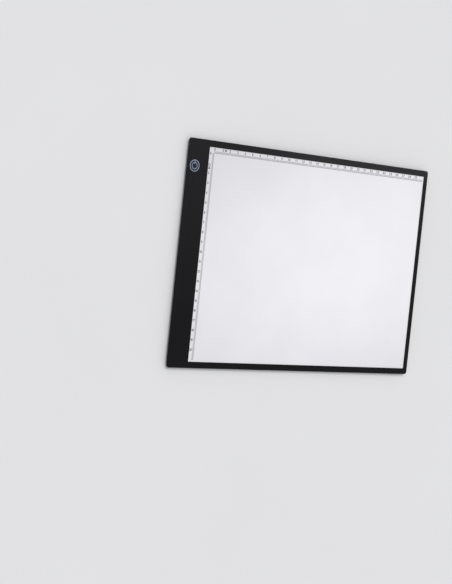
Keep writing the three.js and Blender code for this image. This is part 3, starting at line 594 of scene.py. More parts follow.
class Finish:
    """A material in layers: a base whose colour and roughness wander with its mottling, then layers
    laid over it by masks. Values that are the same all over are set on the shader's own sockets."""

    def __init__(self, name, look=None, **constants):
        dark, light, rough, grain, mottle, depth = LOOKS[look or name]
        self.material = bpy.data.materials.new(name)
        self.material.use_nodes = True
        self.tree = self.material.node_tree
        self.shader = self.tree.nodes["Principled BSDF"]
        for socket, value in constants.items():
            self.shader.inputs[socket.replace("_", " ")].default_value = value
        sizes = {"Grain Size": grain * MM, "Mottle Size": mottle * MM}
        base = add("Group", sizes, self.tree, node_tree=GRAIN)
        self.grain, self.mottle = base["Grain"], base["Mottle"]
        self.colour = blend_colours(self.mottle, dark, light)
        self.rough = ramp(self.mottle, 0.0, 1.0, *rough, "LINEAR")
        self.height = self.grain
        self.depth = depth
        self.metal = self.glow = None

    def place(self):
        return object_place(self.tree)

    def axes(self):
        return add("SeparateXYZ", {0: self.place()})

    def layer(self, mask, colour, rough):
        """Lays a colour and a roughness over what is there."""
        self.colour = blend_colours(mask, self.colour, colour)
        self.rough = blend_values(mask, self.rough, rough)
        return self

    def tinned(self, mask):
        self.metal = mask
        return self.layer(mask, (0.72, 0.72, 0.71), 0.28)

    def worn(self, colour, rough, width, patch, amount=0.5):
        inputs = {"Width": width * MM, "Patch Size": patch * MM, "Amount": amount}
        return self.layer(add("Group", inputs, self.tree, node_tree=WEAR)["Mask"], colour, rough)

    def dusty(self, speck, amount):
        inputs = {"Speck Size": speck * MM, "Amount": amount}
        mask = add("Group", inputs, self.tree, node_tree=DUST)["Mask"]
        return self.layer(mask, (0.5, 0.49, 0.47), 0.9)

    def done(self):
        relief = add("Bump", {"Height": self.height, "Distance": self.depth * MM})["Normal"]
        ends = {
            "Base Color": self.colour,
            "Roughness": self.rough,
            "Metallic": self.metal,
            "Emission Color": self.glow,
            "Normal": relief,
        }
        for name, value in ends.items():
            if value is not None:
                self.tree.links.new(value, self.shader.inputs[name])
        return self.material


# Materials

def frame_plastic():
    """Black and finely grained, with painted sheen: lighter and a little rougher towards the long side
    with the key, from which the light falls, most of all beyond the middle of that side."""
    finish = Finish("frame_plastic", Specular_IOR_Level=0.1)
    place = finish.axes()
    # painted sheen: the whole frame lighter towards +Y, where the light falls
    finish.layer(ramp(place["Y"], -0.09, 0.14), (0.0115, 0.0115, 0.0125), 0.58)
    # painted sheen, stronger on the +Y border beyond the middle of that side
    painted_sheen_far_edge = multiply(ramp(place["Y"], 0.098, 0.112), ramp(place["X"], -0.14, 0.02))
    finish.layer(painted_sheen_far_edge, (0.023, 0.023, 0.0243), 0.6)
    finish.worn((0.03, 0.03, 0.034), 0.35, width=0.35, patch=9.0, amount=0.45)
    return finish.dusty(speck=0.6, amount=0.02).done()


def opal_acrylic():
    """Lit from below: the glow falls with the square of the distance from a place right of the middle,
    more slowly along a line that is turned a little from the long side. Close to the light strip it
    ripples with the pitch of the light emitting diodes."""
    finish = Finish("opal_acrylic", Emission_Strength=1.0)
    ellipse = {
        "Vector": finish.place(),
        "Location": (0.081, 0.014, 0.005),
        "Rotation": (0, 0, math.radians(12.5)),
        "Scale": (0.455, 0.234, 1.0),
    }
    centred = add("Mapping", ellipse, vector_type="TEXTURE")[0]
    square = add("VectorMath", {0: centred, 1: centred}, operation="DOT_PRODUCT")["Value"]
    place = finish.axes()
    first, last = (middle("led_%02d" % k)[1] * MM for k in (1, LED_COUNT))
    pitch = (last - first) / (LED_COUNT - 1)
    wave = calculate("COSINE", multiply(subtract(place["Y"], first), 2 * math.pi / pitch))
    near = ramp(place["X"], WINDOW[0] * MM, (WINDOW[0] + RIPPLE_REACH) * MM, RIPPLE_STRENGTH, 0.0)
    level = calculate("ADD", subtract(1.0, square), multiply(wave, near))
    finish.glow = blend_colours(level, UNLIT, (0.36, 0.354, 0.372))
    return finish.done()


def smoked_lens():
    """Dark blue, with light from the symbol spread in it round the arc and towards the ring."""
    finish = Finish("key_lens", Specular_IOR_Level=0.25, Emission_Strength=1.0)
    distance = distance_from(finish.place(), *KEY[:2] * MM)
    halo = multiply(ramp(distance, 0.0068, 0.0046), ramp(distance, 0.0014, 0.003))
    finish.glow = blend_colours(halo, UNLIT, (0.0055, 0.0085, 0.02))
    return finish.done()


def key_light():
    finish = Finish("key_light", Emission_Strength=1.0)
    finish.glow = blend_colours(finish.mottle, (0.11, 0.125, 0.165), (0.135, 0.15, 0.195))
    return finish.done()


def metal(name, *worn_to):
    """Edges of metal are rubbed bright and smoother."""
    finish = Finish(name, Metallic=1.0)
    least_rough = LOOKS[name][2][0]
    return finish.worn(worn_to, least_rough * 0.8, width=0.15, patch=1.2, amount=0.6).done()


def clear_guide():
    """Clear acrylic, printed below with white dots that grow with the distance from the light strip, so
    that the dimmer light there is scattered more: each is a disc in its cell of a square grid."""
    finish = Finish("clear_acrylic", Transmission_Weight=1.0, IOR=1.49)
    place = finish.axes()
    low, high = (corner * MM for corner in span("light_guide"))
    squares = []
    for axis in "XY":
        off_centre = subtract(calculate("FRACT", divide(place[axis], DOT_PITCH * MM)), 0.5)
        squares.append(multiply(off_centre, off_centre))
    distance = calculate("SQRT", calculate("ADD", *squares))
    radius = ramp(place["X"], low[0], high[0], *DOT_RADII, "LINEAR")
    inside = ramp(subtract(radius, distance), -0.02, 0.02)
    under = calculate("LESS_THAN", place["Z"], low[2] + DOT_DEPTH * MM)
    return finish.layer(multiply(inside, under), (0.9, 0.9, 0.9), 0.8).done()


def brushed_aluminium():
    """Extruded along Y: fine lines that are noise drawn out a hundredfold along it."""
    finish = Finish("rail_aluminium", Metallic=1.0)
    stretched = add("Mapping", {"Vector": finish.place(), "Scale": (1.0, 0.01, 1.0)})[0]
    finish.height = noise(stretched, 9000.0, 3.0)
    finish.layer(ramp(finish.height, 0.45, 0.75), (0.78, 0.79, 0.8), 0.24)
    return finish.worn((0.86, 0.86, 0.87), 0.2, width=0.1, patch=2.0).done()


def on_grid(place, along, across, pitch, run, keep):
    """A mask of straight lines that run along one axis: across it they lie a pitch apart, and along it
    each is cut into runs, of which chance keeps a share."""
    column = divide(place[across], pitch)
    off = calculate("ABSOLUTE", subtract(calculate("FRACT", column), 0.5))
    line = calculate("LESS_THAN", off, TRACE_HALF * MM / pitch)
    cell = {"X": calculate("FLOOR", column), "Y": calculate("FLOOR", divide(place[along], run))}
    cell = add("CombineXYZ", cell)[0]
    chance = add("TexWhiteNoise", {"Vector": cell}, noise_dimensions="3D")["Value"]
    return multiply(line, calculate("LESS_THAN", chance, keep))


def circuit_board(name, trace, pitch):
    """Solder mask over copper: the tracks show through it as lines on a grid, in two directions."""
    finish = Finish(name)
    place = finish.axes()
    lengthwise = on_grid(place, "Y", "X", pitch * MM, run=7.0 * pitch * MM, keep=0.55)
    crosswise = on_grid(place, "X", "Y", 2.0 * pitch * MM, run=3.0 * pitch * MM, keep=0.4)
    tracks = calculate("MAXIMUM", lengthwise, crosswise)
    finish.height = calculate("ADD", finish.grain, tracks)
    return finish.layer(tracks, trace, 0.34).done()


def light_chip():
    """A white housing with its window, set back a little in the front face, filled with phosphor."""
    finish = Finish("led_plastic")
    window = (span("led_01")[1][0] - LED_RECESS) * MM
    phosphor = calculate("COMPARE", finish.axes()["X"], window, PHOSPHOR_DEPTH * MM)
    return finish.layer(phosphor, (0.86, 0.68, 0.1), 0.45).done()


def beyond(finish, node, axis, distance):
    """Where a point is farther than a distance from the middle of a node along an axis."""
    off = subtract(finish.axes()["XYZ"[axis]], middle(node)[axis] * MM)
    return calculate("GREATER_THAN", calculate("ABSOLUTE", off), distance * MM)


def moulded_chip(node):
    """Moulded epoxy with tinned legs, which stand beyond its two long sides, and a round mark."""
    finish = Finish(node, "chip_epoxy")
    low, high = span(node)
    mark = (low[0] + LEG_REACH + MARK_INSET[0]) * MM, (high[1] - MARK_INSET[1]) * MM
    distance = distance_from(finish.place(), *mark)
    finish.layer(ramp(distance, MARK_RADIUS * MM, MARK_CORE * MM), (0.05, 0.05, 0.05), 0.35)
    side = radius_of(node) - LEG_REACH + LEG_CLEARANCE
    return finish.tinned(beyond(finish, node, 0, side)).done()


def tinned_ceramic(node):
    """Tan ceramic between two tinned ends."""
    finish = Finish(node, "ceramic")
    low, high = span(node)
    return finish.tinned(beyond(finish, node, 1, (high[1] - low[1]) / 2 - CAPACITOR_END)).done()


def ferrite_core():
    """Dark grey granular ferrite on two tinned pads along its lower edge."""
    finish = Finish("ferrite")
    top_of_pads = (levels_of("inductor")[0] + SOLDER_HEIGHT) * MM
    under = calculate("LESS_THAN", finish.axes()["Z"], top_of_pads)
    return finish.tinned(multiply(under, beyond(finish, "inductor", 0, PAD_FROM_MIDDLE))).done()


def insulated_wire(name):
    """Glossy insulation, stripped and tinned at the end that is soldered to the light strip."""
    finish = Finish(name)
    end = (span("wire_positive")[1][0] - WIRE_BARE) * MM
    return finish.tinned(calculate("GREATER_THAN", finish.axes()["X"], end)).done()


def soft_foam():
    """Open-celled foam: pits at the cells of a fine Voronoi pattern, with painted shade darkening their
    depths.
    """
    finish = Finish("foam")
    cells = add("TexVoronoi", {"Vector": finish.place(), "Scale": 4200.0}, feature="F1")["Distance"]
    finish.height = calculate("ADD", cells, finish.grain)
    # painted shade: the pits darker towards their depths
    return finish.layer(ramp(cells, 0.35, 0.1), (0.02, 0.02, 0.021), 0.95).done()


# Front frame

def at_tabs(near, far, low, high):
    """A block at every snap tab, beside an edge of the face: inwards from near to far."""
    left, bottom, right, top = FACE
    half = TAB_LENGTH / 2
    along = np.linspace(WINDOW[0] + TAB_FROM_CORNER, right - TAB_FROM_CORNER, TABS_ALONG)
    across = np.linspace(bottom + TAB_FROM_CORNER, top - TAB_BELOW_KEY, TABS_ACROSS)
    rects = [(x - half, top - far, x + half, top - near) for x in along]
    rects += [(x - half, bottom + near, x + half, bottom + far) for x in along]
    rects += [(left + near, y - half, left + far, y + half) for y in across]
    rects += [(right - far, y - half, right - near, y + half) for y in across]
    return [block(rect, low, high) for rect in rects]


def port_room():
    """Room for the socket through the rim, the skirt and the flank."""
    half = PORT_HALF + PORT_GAP
    rect = (PORT_X - half, POCKET[3] - OVERRUN, PORT_X + half, FACE[3] + OVERRUN)
    return block(rect, SOCKET_LOW[2] - PORT_GAP, SOCKET_HIGH[2] + PORT_GAP)


def frame_surface():
    """Rings round the face that follow the frame's section: up the rim, over the rounded edge and
    the flat top, down the window's rounded edge, out under the lip and round the skirt."""
    rim = [(PART_CHAMFER, PARTING_LEVEL), (0, PARTING_LEVEL + PART_CHAMFER)]
    edge = [(by, FACE_TOP - drop) for by, drop in round_over(FACE_ROUND)]
    sill = [
        rounded_ring(inset(WINDOW, -by), WINDOW_ROUND + by, FACE_TOP - drop)
        for drop, by in round_over(WINDOW_ROUND, steps=5)
    ]
    lip = [
        rounded_ring(WINDOW, WINDOW_ROUND, LIP_BASE),
        rounded_ring(POCKET, LEAST_RADIUS, LIP_BASE),
        rounded_ring(POCKET, LEAST_RADIUS, SKIRT_BOTTOM),
    ]
    skirt = [
        (SKIRT_INSET, SKIRT_BOTTOM),
        (SKIRT_INSET, LIP_BASE),
        (RIM_THICKNESS, LIP_BASE),
        (RIM_THICKNESS, PARTING_LEVEL),
    ]
    return skin(face_rings(rim + edge) + sill + lip + face_rings(skirt), closed=True)


def front_frame():
    bar = inset(POCKET, -TOUCH)
    bar[2] = PANEL_LOW[0] - PANEL_CLEARANCE
    left, right = (WINDOW[0] + distance for distance in PEG_SPAN)
    pegs = [
        block((left, POCKET[3] - PEG_REACH, right, POCKET[3] + TOUCH), SKIRT_BOTTOM, GUIDE_TOP),
        block((left, POCKET[1] - TOUCH, right, POCKET[1] + PEG_REACH), SKIRT_BOTTOM, GUIDE_TOP),
    ]
    bosses = columns(CASE_SCREWS, BOSS_RADIUS, BOSS_LOW, BAR_UNDERSIDE + TOUCH)
    hooks = at_tabs(HOOK_INSET, SKIRT_INSET + TOUCH, *HOOK_LEVELS)
    body = with_parts(to_mesh(frame_surface()), block(bar, BAR_UNDERSIDE, LIP_BASE + TOUCH))
    body = with_parts(body, *bosses, *hooks, *pegs)
    seat = LENS_RADIUS + LENS_FIT
    well = [
        [WELL_RADIUS, BAR_UNDERSIDE - OVERRUN],
        [WELL_RADIUS, SEAT_LEVEL],
        [seat, SEAT_LEVEL],
        [seat, FACE_TOP - WELL_CHAMFER / 2],
        [seat + WELL_CHAMFER, FACE_TOP + WELL_CHAMFER / 2],
        [seat + WELL_CHAMFER, FACE_TOP + OVERRUN],
    ]
    pilots = columns(CASE_SCREWS, PILOT_RADIUS, FLOOR_TOP, PILOT_TOP)
    return without(body, *pilots, *turned(well, [KEY], DISC_SIDES), port_room())


# Back cover

def flank_level(by):
    """The level at which the inside of the flank, or else the floor, is met at an inset."""
    return max(PARTING_LEVEL - (by - FLANK_THICKNESS), FLOOR_TOP)


def cover_surface():
    """Rings of a tray: the sole, a rounded turn into the flank that slopes out at 45 degrees, the rim
    with its two fine chamfers, and the inside down to the floor."""
    start = BEVEL_INSET + SOLE_ROUND * np.tan(np.radians(22.5)) - SOLE_ROUND
    sole = [(start + by, SOLE_LEVEL + rise) for rise, by in round_over(SOLE_ROUND, 45, 5)]
    slope = BEVEL_INSET / (PARTING_LEVEL - SOLE_LEVEL)
    floor_edge = slope * (PARTING_LEVEL - FLOOR_TOP) + FLANK_THICKNESS
    rim = [
        (0, COVER_TOP - PART_CHAMFER),
        (PART_CHAMFER, COVER_TOP),
        (FLANK_THICKNESS - TOUCH, COVER_TOP),
        (FLANK_THICKNESS, COVER_TOP - TOUCH),
        (floor_edge - FLOOR_TURN, FLOOR_TOP + FLOOR_TURN),
        (floor_edge + FLOOR_TURN, FLOOR_TOP),
    ]
    return skin(face_rings(sole + rim))


def port_lug():
    """A block on the flank that brings the socket's surround out to the edge, its corners softened."""
    inner, outer = POCKET[3], FACE[3] - LUG_INSET
    half = LUG_WIDTH / 2
    corners = [
        (PORT_X - half - LUG_SLOPE, inner),
        (PORT_X + half + LUG_SLOPE, inner),
        (PORT_X + half, outer),
        (PORT_X - half, outer),
    ]
    lug = to_mesh(upright(softened(corners, LUG_ROUND), SOLE_LEVEL + LUG_RISE, COVER_TOP))
    left, low, right = PORT_X - LUG_WIDTH, inner - OVERRUN, PORT_X + LUG_WIDTH
    skirt_room = (left, low, right, FACE[3] - RIM_THICKNESS + LUG_GAP)
    lug = without(lug, block(skirt_room, flank_level(SKIRT_INSET) - LUG_GAP, FACE_TOP))
    return without(lug, block((left, low, right, inner + TOUCH), FLOOR_TOP, FACE_TOP))


def back_cover():
    board_low, board_high = span("control_board")
    rail_low, _ = span("led_rail")
    tabs = at_tabs(TAB_INSET, TAB_INNER, flank_level(TAB_INNER) - TAB_ROOT, TAB_TOP)
    hooks = at_tabs(TAB_INNER - TOUCH, TAB_INNER + TAB_HOOK, TAB_TOP - TAB_HOOK_HEIGHT, TAB_TOP)
    posts = BOARD_SCREWS + [(x, board_high[1] - BOARD_MARGIN) for x, _, _ in BOARD_SCREWS]
    pillars = columns(CASE_SCREWS, COLLAR_RADIUS, FLOOR_TOP - TOUCH, COLLAR_TOP)
    pillars += columns(posts, POST_RADIUS, FLOOR_TOP - TOUCH, POST_TOP)
    left, right = (rail_low[0] - distance for distance in STOP_SPAN)
    rows = np.linspace(rail_low[1] + STOP_FROM_END, board_low[1] - BOARD_MARGIN, STOP_COUNT)
    stops = [
        block((left, y - STOP_HALF, right, y + STOP_HALF), FLOOR_TOP - TOUCH, FLOOR_TOP + STOP_HEIGHT)
        for y in rows
    ]
    body = with_parts(to_mesh(cover_surface()), *tabs, *pillars, *stops)
    body = with_parts(body, *hooks)
    body = combined(body, port_lug(), "UNION")
    screw_room = [
        [COUNTERSINK_RADIUS, SOLE_LEVEL - OVERRUN],
        [COUNTERSINK_RADIUS, SOLE_LEVEL],
        [SCREW_HOLE_RADIUS, COUNTERSINK_TOP],
        [SCREW_HOLE_RADIUS, COLLAR_TOP + OVERRUN],
    ]
    pilots = columns(BOARD_SCREWS, BOARD_PILOT_RADIUS, BOARD_PILOT_LOW, POST_TOP + OVERRUN)
    recess = radius_of("foot_1") + FOOT_FIT
    foot_rooms = columns(FEET, recess, SOLE_LEVEL - OVERRUN, SOLE_LEVEL + FOOT_RECESS, DISC_SIDES)
    return without(body, *turned(screw_room, CASE_SCREWS), *pilots, *foot_rooms, port_room())


# Panel and its ruler

def drawing_panel():
    """A plate with round corners and polished edges."""
    rect = [*PANEL_LOW[:2], *PANEL_HIGH[:2]]
    low, high = PANEL_LOW[2], PANEL_HIGH[2]
    edge = [(PANEL_POLISH, low), (0, low + PANEL_POLISH), (0, high - PANEL_POLISH), (PANEL_POLISH, high)]
    return to_mesh(skin([rounded_ring(inset(rect, by), PANEL_CORNER - by, z) for by, z in edge]))


def tick_marks(count, start, line, way):
    """A mark for each millimetre: the reach is longest at whole centimetres and middling at halves.
    Marks stand on the line and point towards the window's edge. They run to the right and point up
    for a way of 1, and run down and point left for -1."""
    marks = []
    for step in range(count + 1):
        reach = TICK_REACH[(step % 5 == 0) + (step % 10 == 0)]
        place = start + way * step
        sides = (place - TICK_WIDTH / 2, place + TICK_WIDTH / 2)
        ends = sorted((line, line + way * reach))
        low, high = zip(*[sides, ends][::way])
        marks.append(block((*low, *high), *PRINT_LEVELS))
    return together(*marks)


def bow(x, y, across, up, start, end, steps=14):
    """Points on an ellipse about a place, from one angle to another, in degrees."""
    turns = arc_steps(start, end, steps)
    return np.column_stack([x + across * np.cos(turns), y + up * np.sin(turns)])


def glyph_strokes():
    """The middle lines of the strokes of each character, one unit high. No stroke crosses itself."""
    six = [bow(0.27, 0.29, 0.27, 0.29, 0, 360, 24), bow(0.52, 0.35, 0.52, 0.65, 180, 97)]
    five_top = [(0.5, 1), (0.12, 1), (0.08, 0.54)]
    return {
        "0": [bow(0.27, 0.5, 0.27, 0.5, 0, 360, 28)],
        "1": [[(0.05, 0.8), (0.27, 1), (0.27, 0)]],
        "2": [np.vstack([bow(0.27, 0.72, 0.27, 0.28, 165, -35), [(0, 0), (0.56, 0)]])],
        "3": [bow(0.25, 0.755, 0.24, 0.245, 150, -90), bow(0.25, 0.255, 0.28, 0.255, 90, -150)],
        "4": [[(0.42, 0), (0.42, 0.97), (0.04, 0.37)], [(0, 0.28), (0.54, 0.28)]],
        "5": [np.vstack([five_top, bow(0.25, 0.32, 0.29, 0.32, 100, -150)])],
        "6": six,
        "7": [[(0, 1), (0.54, 1), (0.16, 0)]],
        "8": [bow(0.27, 0.76, 0.23, 0.24, 0, 360, 24), bow(0.27, 0.27, 0.27, 0.27, 0, 360, 24)],
        "9": [np.array([0.54, 1.0]) - stroke for stroke in six],
        "C": [bow(0.48, 0.5, 0.48, 0.5, 46, 314, 24)],
        "M": [[(0, 0), (0, 1)], [(0.04, 0.94), (0.46, 0.28), (0.88, 0.94)], [(0.92, 1), (0.92, 0)]],
    }


def ribbon(path, width):
    """A stroke: at each point of its middle line the two sides lie half a width off, along the
    line that halves the turn there, and so much farther that the width stays the same. A path that
    ends where it starts is closed, and any other has square ends half a width beyond it."""
    path = np.array(path, float)
    closed = bool(np.allclose(path[0], path[-1]))
    if closed:
        path = path[:-1]
        ahead = unit(np.roll(path, -1, axis=0) - path)
        behind = np.roll(ahead, 1, axis=0)
    else:
        steps = unit(np.diff(path, axis=0))
        path[0] -= steps[0] * width / 2
        path[-1] += steps[-1] * width / 2
        ahead, behind = np.vstack([steps, steps[-1:]]), np.vstack([steps[:1], steps])
    along = unit(ahead + behind)
    lean = np.maximum((along * ahead).sum(axis=1, keepdims=True), MITRE_LIMIT)
    off = np.column_stack([-along[:, 1], along[:, 0]]) * width / 2 / lean
    low, high = PRINT_LEVELS
    corners = [(path - off, low), (path + off, low), (path + off, high), (path - off, high)]
    return skin(np.stack([at_level(*corner) for corner in corners], axis=1), closed)


def lettering(words, height, width, gap, down=False):
    """Printed words a film thick, drawn in strokes of a width and centred on their places. Words
    that run down have the top of each character on their right."""
    glyphs = glyph_strokes()
    layers = {}
    for word, x, y in words:
        strokes = [[np.asarray(stroke) * (height - width) for stroke in glyphs[c]] for c in word]
        lengths = [max(stroke[:, 0].max() for stroke in parts) + width for parts in strokes]
        pen = (width - sum(lengths) - gap * height * (len(word) - 1)) / 2
        for parts, length in zip(strokes, lengths):
            for layer, stroke in enumerate(parts):
                flat = stroke + [pen, (width - height) / 2]
                if down:
                    flat = np.column_stack([flat[:, 1], -flat[:, 0]])
                layers.setdefault(layer, []).append(ribbon(flat + [x, y], width))
            pen += length + gap * height
    first, *others = (together(*layers[layer]) for layer in sorted(layers))
    mesh = to_mesh(first)
    for shape in others:
        mesh = with_parts(mesh, shape)
    return mesh


def ruler_pieces(ink):
    """The two scales: each is a line with its marks, a row of numbers and the unit."""
    left, top = WINDOW[0], WINDOW[3]
    zero_x, zero_y = left + ZERO_FROM_LEFT, top - ZERO_FROM_TOP
    line_x, line_y = left + LINE_FROM_LEFT, top - LINE_FROM_TOP
    column, row = left + NUMBERS_FROM_LEFT, top - NUMBERS_FROM_TOP
    half = TICK_WIDTH / 2
    across_line = (zero_x - half, line_y - LINE_WIDTH, zero_x + RULER_LENGTH + half, line_y)
    down_line = (line_x, zero_y - RULER_DROP - half, line_x + LINE_WIDTH, zero_y + half)
    across_ticks = tick_marks(RULER_LENGTH, zero_x, line_y - TOUCH, 1)
    down_ticks = tick_marks(RULER_DROP, zero_y, line_x + TOUCH, -1)
    across = [(str(n), zero_x + 10 * n, row) for n in [0, *range(2, 30)]]
    down = [(str(n), column, zero_y - 10 * n) for n in [0, *range(2, 21)]]
    across_unit = [("CM", zero_x + UNIT_PLACE, row)]
    down_unit = [("CM", column, zero_y - UNIT_DROP)]
    pieces = {
        "ruler_top_marks": with_parts(to_mesh(block(across_line, *PRINT_LEVELS)), across_ticks),
        "ruler_side_marks": with_parts(to_mesh(block(down_line, *PRINT_LEVELS)), down_ticks),
        "ruler_top_numbers": lettering(across, NUMBER_HEIGHT, STROKE_WIDTH, NUMBER_GAPS[0]),
        "ruler_side_numbers": lettering(down, NUMBER_HEIGHT, STROKE_WIDTH, NUMBER_GAPS[1]),
        "ruler_top_unit": lettering(across_unit, UNIT_HEIGHT, UNIT_STROKE, UNIT_GAPS[0]),
        "ruler_side_unit": lettering(down_unit, UNIT_HEIGHT, UNIT_STROKE, UNIT_GAPS[1], down=True),
    }
    for name, mesh in pieces.items():
        piece(name, mesh, ink, "opal_acrylic")


# Touch key

def key_lens():
    """A disc with a finely rounded edge."""
    edge = [[LENS_RADIUS - by, LENS_TOP - drop] for by, drop in round_over(LENS_ROUND, steps=4)]
    base = [[LENS_RADIUS - TOUCH, LENS_LOW], [LENS_RADIUS, LENS_LOW + TOUCH]]
    return to_mesh(lathe(base + edge, *KEY[:2]))


def lit_ring(inner, outer, low, high, gap=0.0, steps=96):
    """A flat ring, or with a gap at the top an arc: its section, a thin rectangle, is carried round
    the centre of the key."""
    turns = np.radians(np.linspace(90 + gap, 450 - gap, steps, endpoint=gap > 0))
    circle = np.column_stack([np.cos(turns), np.sin(turns)])
    section = [(inner, high), (outer, high), (outer, low), (inner, low)]
    rings = [at_level(KEY[:2] + radius * circle, level) for radius, level in section]
    return skin(np.stack(rings, axis=1), closed=gap == 0)


def key_symbol():
    """A ring round a power symbol: an arc open at the top, and a bar that stands in its gap."""
    levels = LENS_TOP - SYMBOL_SINK, LENS_TOP + SYMBOL_RISE
    low, high = (KEY[1] + reach for reach in BAR_SPAN)
    bar = block((KEY[0] - BAR_HALF, low, KEY[0] + BAR_HALF, high), *levels)
    ring = with_parts(to_mesh(lit_ring(*RING_RADII, *levels)), bar)
    return with_parts(ring, lit_ring(*ARC_RADII, *levels, gap=ARC_GAP))


# Socket

def socket_rings(steps):
    """The socket's section at each inset and place along Y, its two lower corners cut and all corners
    softened."""
    rings = []
    for by, y in steps:
        half, top = PORT_HALF - by, PORT_HEIGHT - by
        corners = [
            (PORT_CORNER - half, by),
            (half - PORT_CORNER, by),
            (half, by + PORT_CORNER),
            (half, top),
            (-half, top),
            (-half, by + PORT_CORNER),
        ]
        across, up = softened(corners, PORT_BEND, 4).T
        rings.append(np.column_stack([PORT_X - across, np.full(len(up), y), SOCKET_LOW[2] + up]))
    return rings


def socket_shell():
    """A folded tube, closed at the back, with a rounded mouth: rings run along its outside to the
    mouth, turn in, and run back along its inside."""
    front = SOCKET_HIGH[1]
    back = front - SHELL_LENGTH
    outside = [(TOUCH, back), (0, back + TOUCH)]
    mouth = [(by, front - drop) for by, drop in round_over(SHELL_SHEET / 2, 180, 6)]
    inside = [(SHELL_SHEET, back + SHELL_SHEET)]
    near, far = PORT_HALF - TOUCH, PORT_HALF + EAR_REACH
    level = levels_of("control_board")[1] + TOUCH
    start, end = (back + length for length in EAR_SPAN)
    ears = [
        block((PORT_X + left, start, PORT_X + right, end), level, level + SHELL_SHEET)
        for left, right in ((-far, -near), (near, far))
    ]
    return with_parts(to_mesh(skin(socket_rings(outside + mouth + inside))), *ears)


def socket_insulator():
    """The base that fills the back of the tube, and the tongue that stands from it."""
    rear = SOCKET_HIGH[1] - INSULATOR_BACK
    end = rear + INSULATOR_LENGTH
    base = [(INSULATOR_INSET, rear), (INSULATOR_INSET, end - TOUCH), (INSULATOR_INSET + TOUCH, end)]
    roof = SOCKET_LOW[2] + TONGUE_TOP
    rect = (PORT_X - TONGUE_HALF, rear + TOUCH, PORT_X + TONGUE_HALF, rear + TONGUE_LENGTH)
    tongue = block(rect, roof - TONGUE_THICKNESS, roof)
    return with_parts(to_mesh(skin(socket_rings(base))), tongue)


def socket_contacts():
    """Gilded strips along the underside of the tongue."""
    near, far = (SOCKET_HIGH[1] - distance for distance in CONTACT_SPAN)
    level = SOCKET_LOW[2] + TONGUE_TOP - TONGUE_THICKNESS
    x = PORT_X + CONTACT_PITCH * (np.arange(CONTACT_COUNT) - CONTACT_COUNT // 2)
    strips = [
        block((left, far, left + 2 * CONTACT_HALF, near), level - CONTACT_DEPTH, level + CONTACT_DEPTH)
        for left in x - CONTACT_HALF
    ]
    return to_mesh(together(*strips))


# Feet and screws

def foot(place):
    """A disc of rubber with rounded edges and a shallow dish in its sole."""
    radius, level = radius_of("foot_1"), levels_of("foot_1")[1]
    rounding, chamfer = 0.4, 0.08
    dish = [[1.2, 0.1], [2.6, 0.1], [3.1, 0.06], [3.4, 0.0]]
    edge = [[radius - by, rise] for rise, by in round_over(rounding, steps=6)]
    top = [[radius, level - chamfer], [radius - chamfer, level]]
    return to_mesh(lathe(dish + edge + top, *place[:2]))


def with_cross(profile, place, reach, face, depth):
    """A turned screw with room for a cross drive: two upright slots at right angles that run from
    beyond the head's face to a depth, where they are narrower."""
    x, y, _ = place
    body = to_mesh(lathe(profile, x, y, SMALL_SIDES))
    for a, b in ((reach, SLOT_WIDTH / 2), (SLOT_WIDTH / 2, reach)):
        outline = np.array([[-a, -b], [a, -b], [a, b], [-a, b]])
        ends = sorted([(face, 1.0), (depth, SLOT_TAPER)])
        body = without(body, skin([at_level(outline * size + [x, y], z) for z, size in ends]))
    return body


def case_screw(place):
    """A countersunk screw, its head down, with rings for its thread."""
    low, high = levels_of("case_screw_1")
    head, shaft = radius_of("case_screw_1"), 0.75
    depth, pitch = 0.12, 0.34
    thread = []
    for level in np.arange(low + 1.1, high - 0.9, pitch):
        thread += [[shaft - depth, level], [shaft, level + depth], [shaft - depth, level + 2 * depth]]
    profile = [
        [head - 0.35, low],
        [head - 0.06, low + 0.02],
        [head, low + 0.09],
        [shaft, low + 0.9],
        *thread,
        [shaft - 0.1, high - 0.6],
        [0.15, high],
    ]
    return with_cross(profile, place, head * 0.66, low - 0.1, low + 0.5)


def board_screw(place):
    """A pan head screw, its head up."""
    low, high = levels_of("board_screw_1")
    head, shaft = radius_of("board_screw_1"), 0.6
    seat = high - 0.65
    stem = [[0.1, low], [shaft - 0.1, low + 0.4], [shaft, low + 0.5], [shaft, seat], [head, seat]]
    dome = [[head - by, high - drop] for by, drop in round_over(0.45, steps=5)]
    return with_cross(stem + dome, place, head * 0.6, high + 0.1, high - 0.4)


# Foam

def signed_power(value, power):
    return np.sign(value) * np.abs(value) ** power


def foam_pad(low, high, rings=25, around=32):
    """A crowned pad, a superellipsoid: along it go angles from end to end, across it angles all round,
    and powers of their sines and cosines below one swell a round form towards its box."""
    centre, half = (low + high) / 2, (high - low) / 2
    along = np.radians(np.linspace(-84, 84, rings))[:, None]
    turn = np.linspace(0, 2 * np.pi, around, endpoint=False)[None]
    full, edge = 0.16, 0.34
    reach = np.abs(np.cos(along)) ** full
    x = centre[0] + half[0] * reach * signed_power(np.sin(turn), edge)
    y = centre[1] + half[1] * signed_power(np.sin(along), full)
    z = centre[2] + half[2] * reach * signed_power(np.cos(turn), edge)
    return to_mesh(skin(np.stack(np.broadcast_arrays(x, y, z), axis=-1)))


def foam_ring():
    """A soft ring round the indicator light: its section is a superellipse, carried round the centre of
    the key."""
    low, high = levels_of("touch_foam")
    outer, power = radius_of("touch_foam"), 0.4
    turn = np.linspace(0, 2 * np.pi, 36, endpoint=False)
    radii = (outer + FOAM_BORE) / 2 + (outer - FOAM_BORE) / 2 * signed_power(np.cos(turn), power)
    levels = (low + high) / 2 + (high - low) / 2 * signed_power(np.sin(turn), power)
    return to_mesh(lathe(np.column_stack([radii, levels]), *KEY[:2], sides=64, closed=True))


# Small parts inside

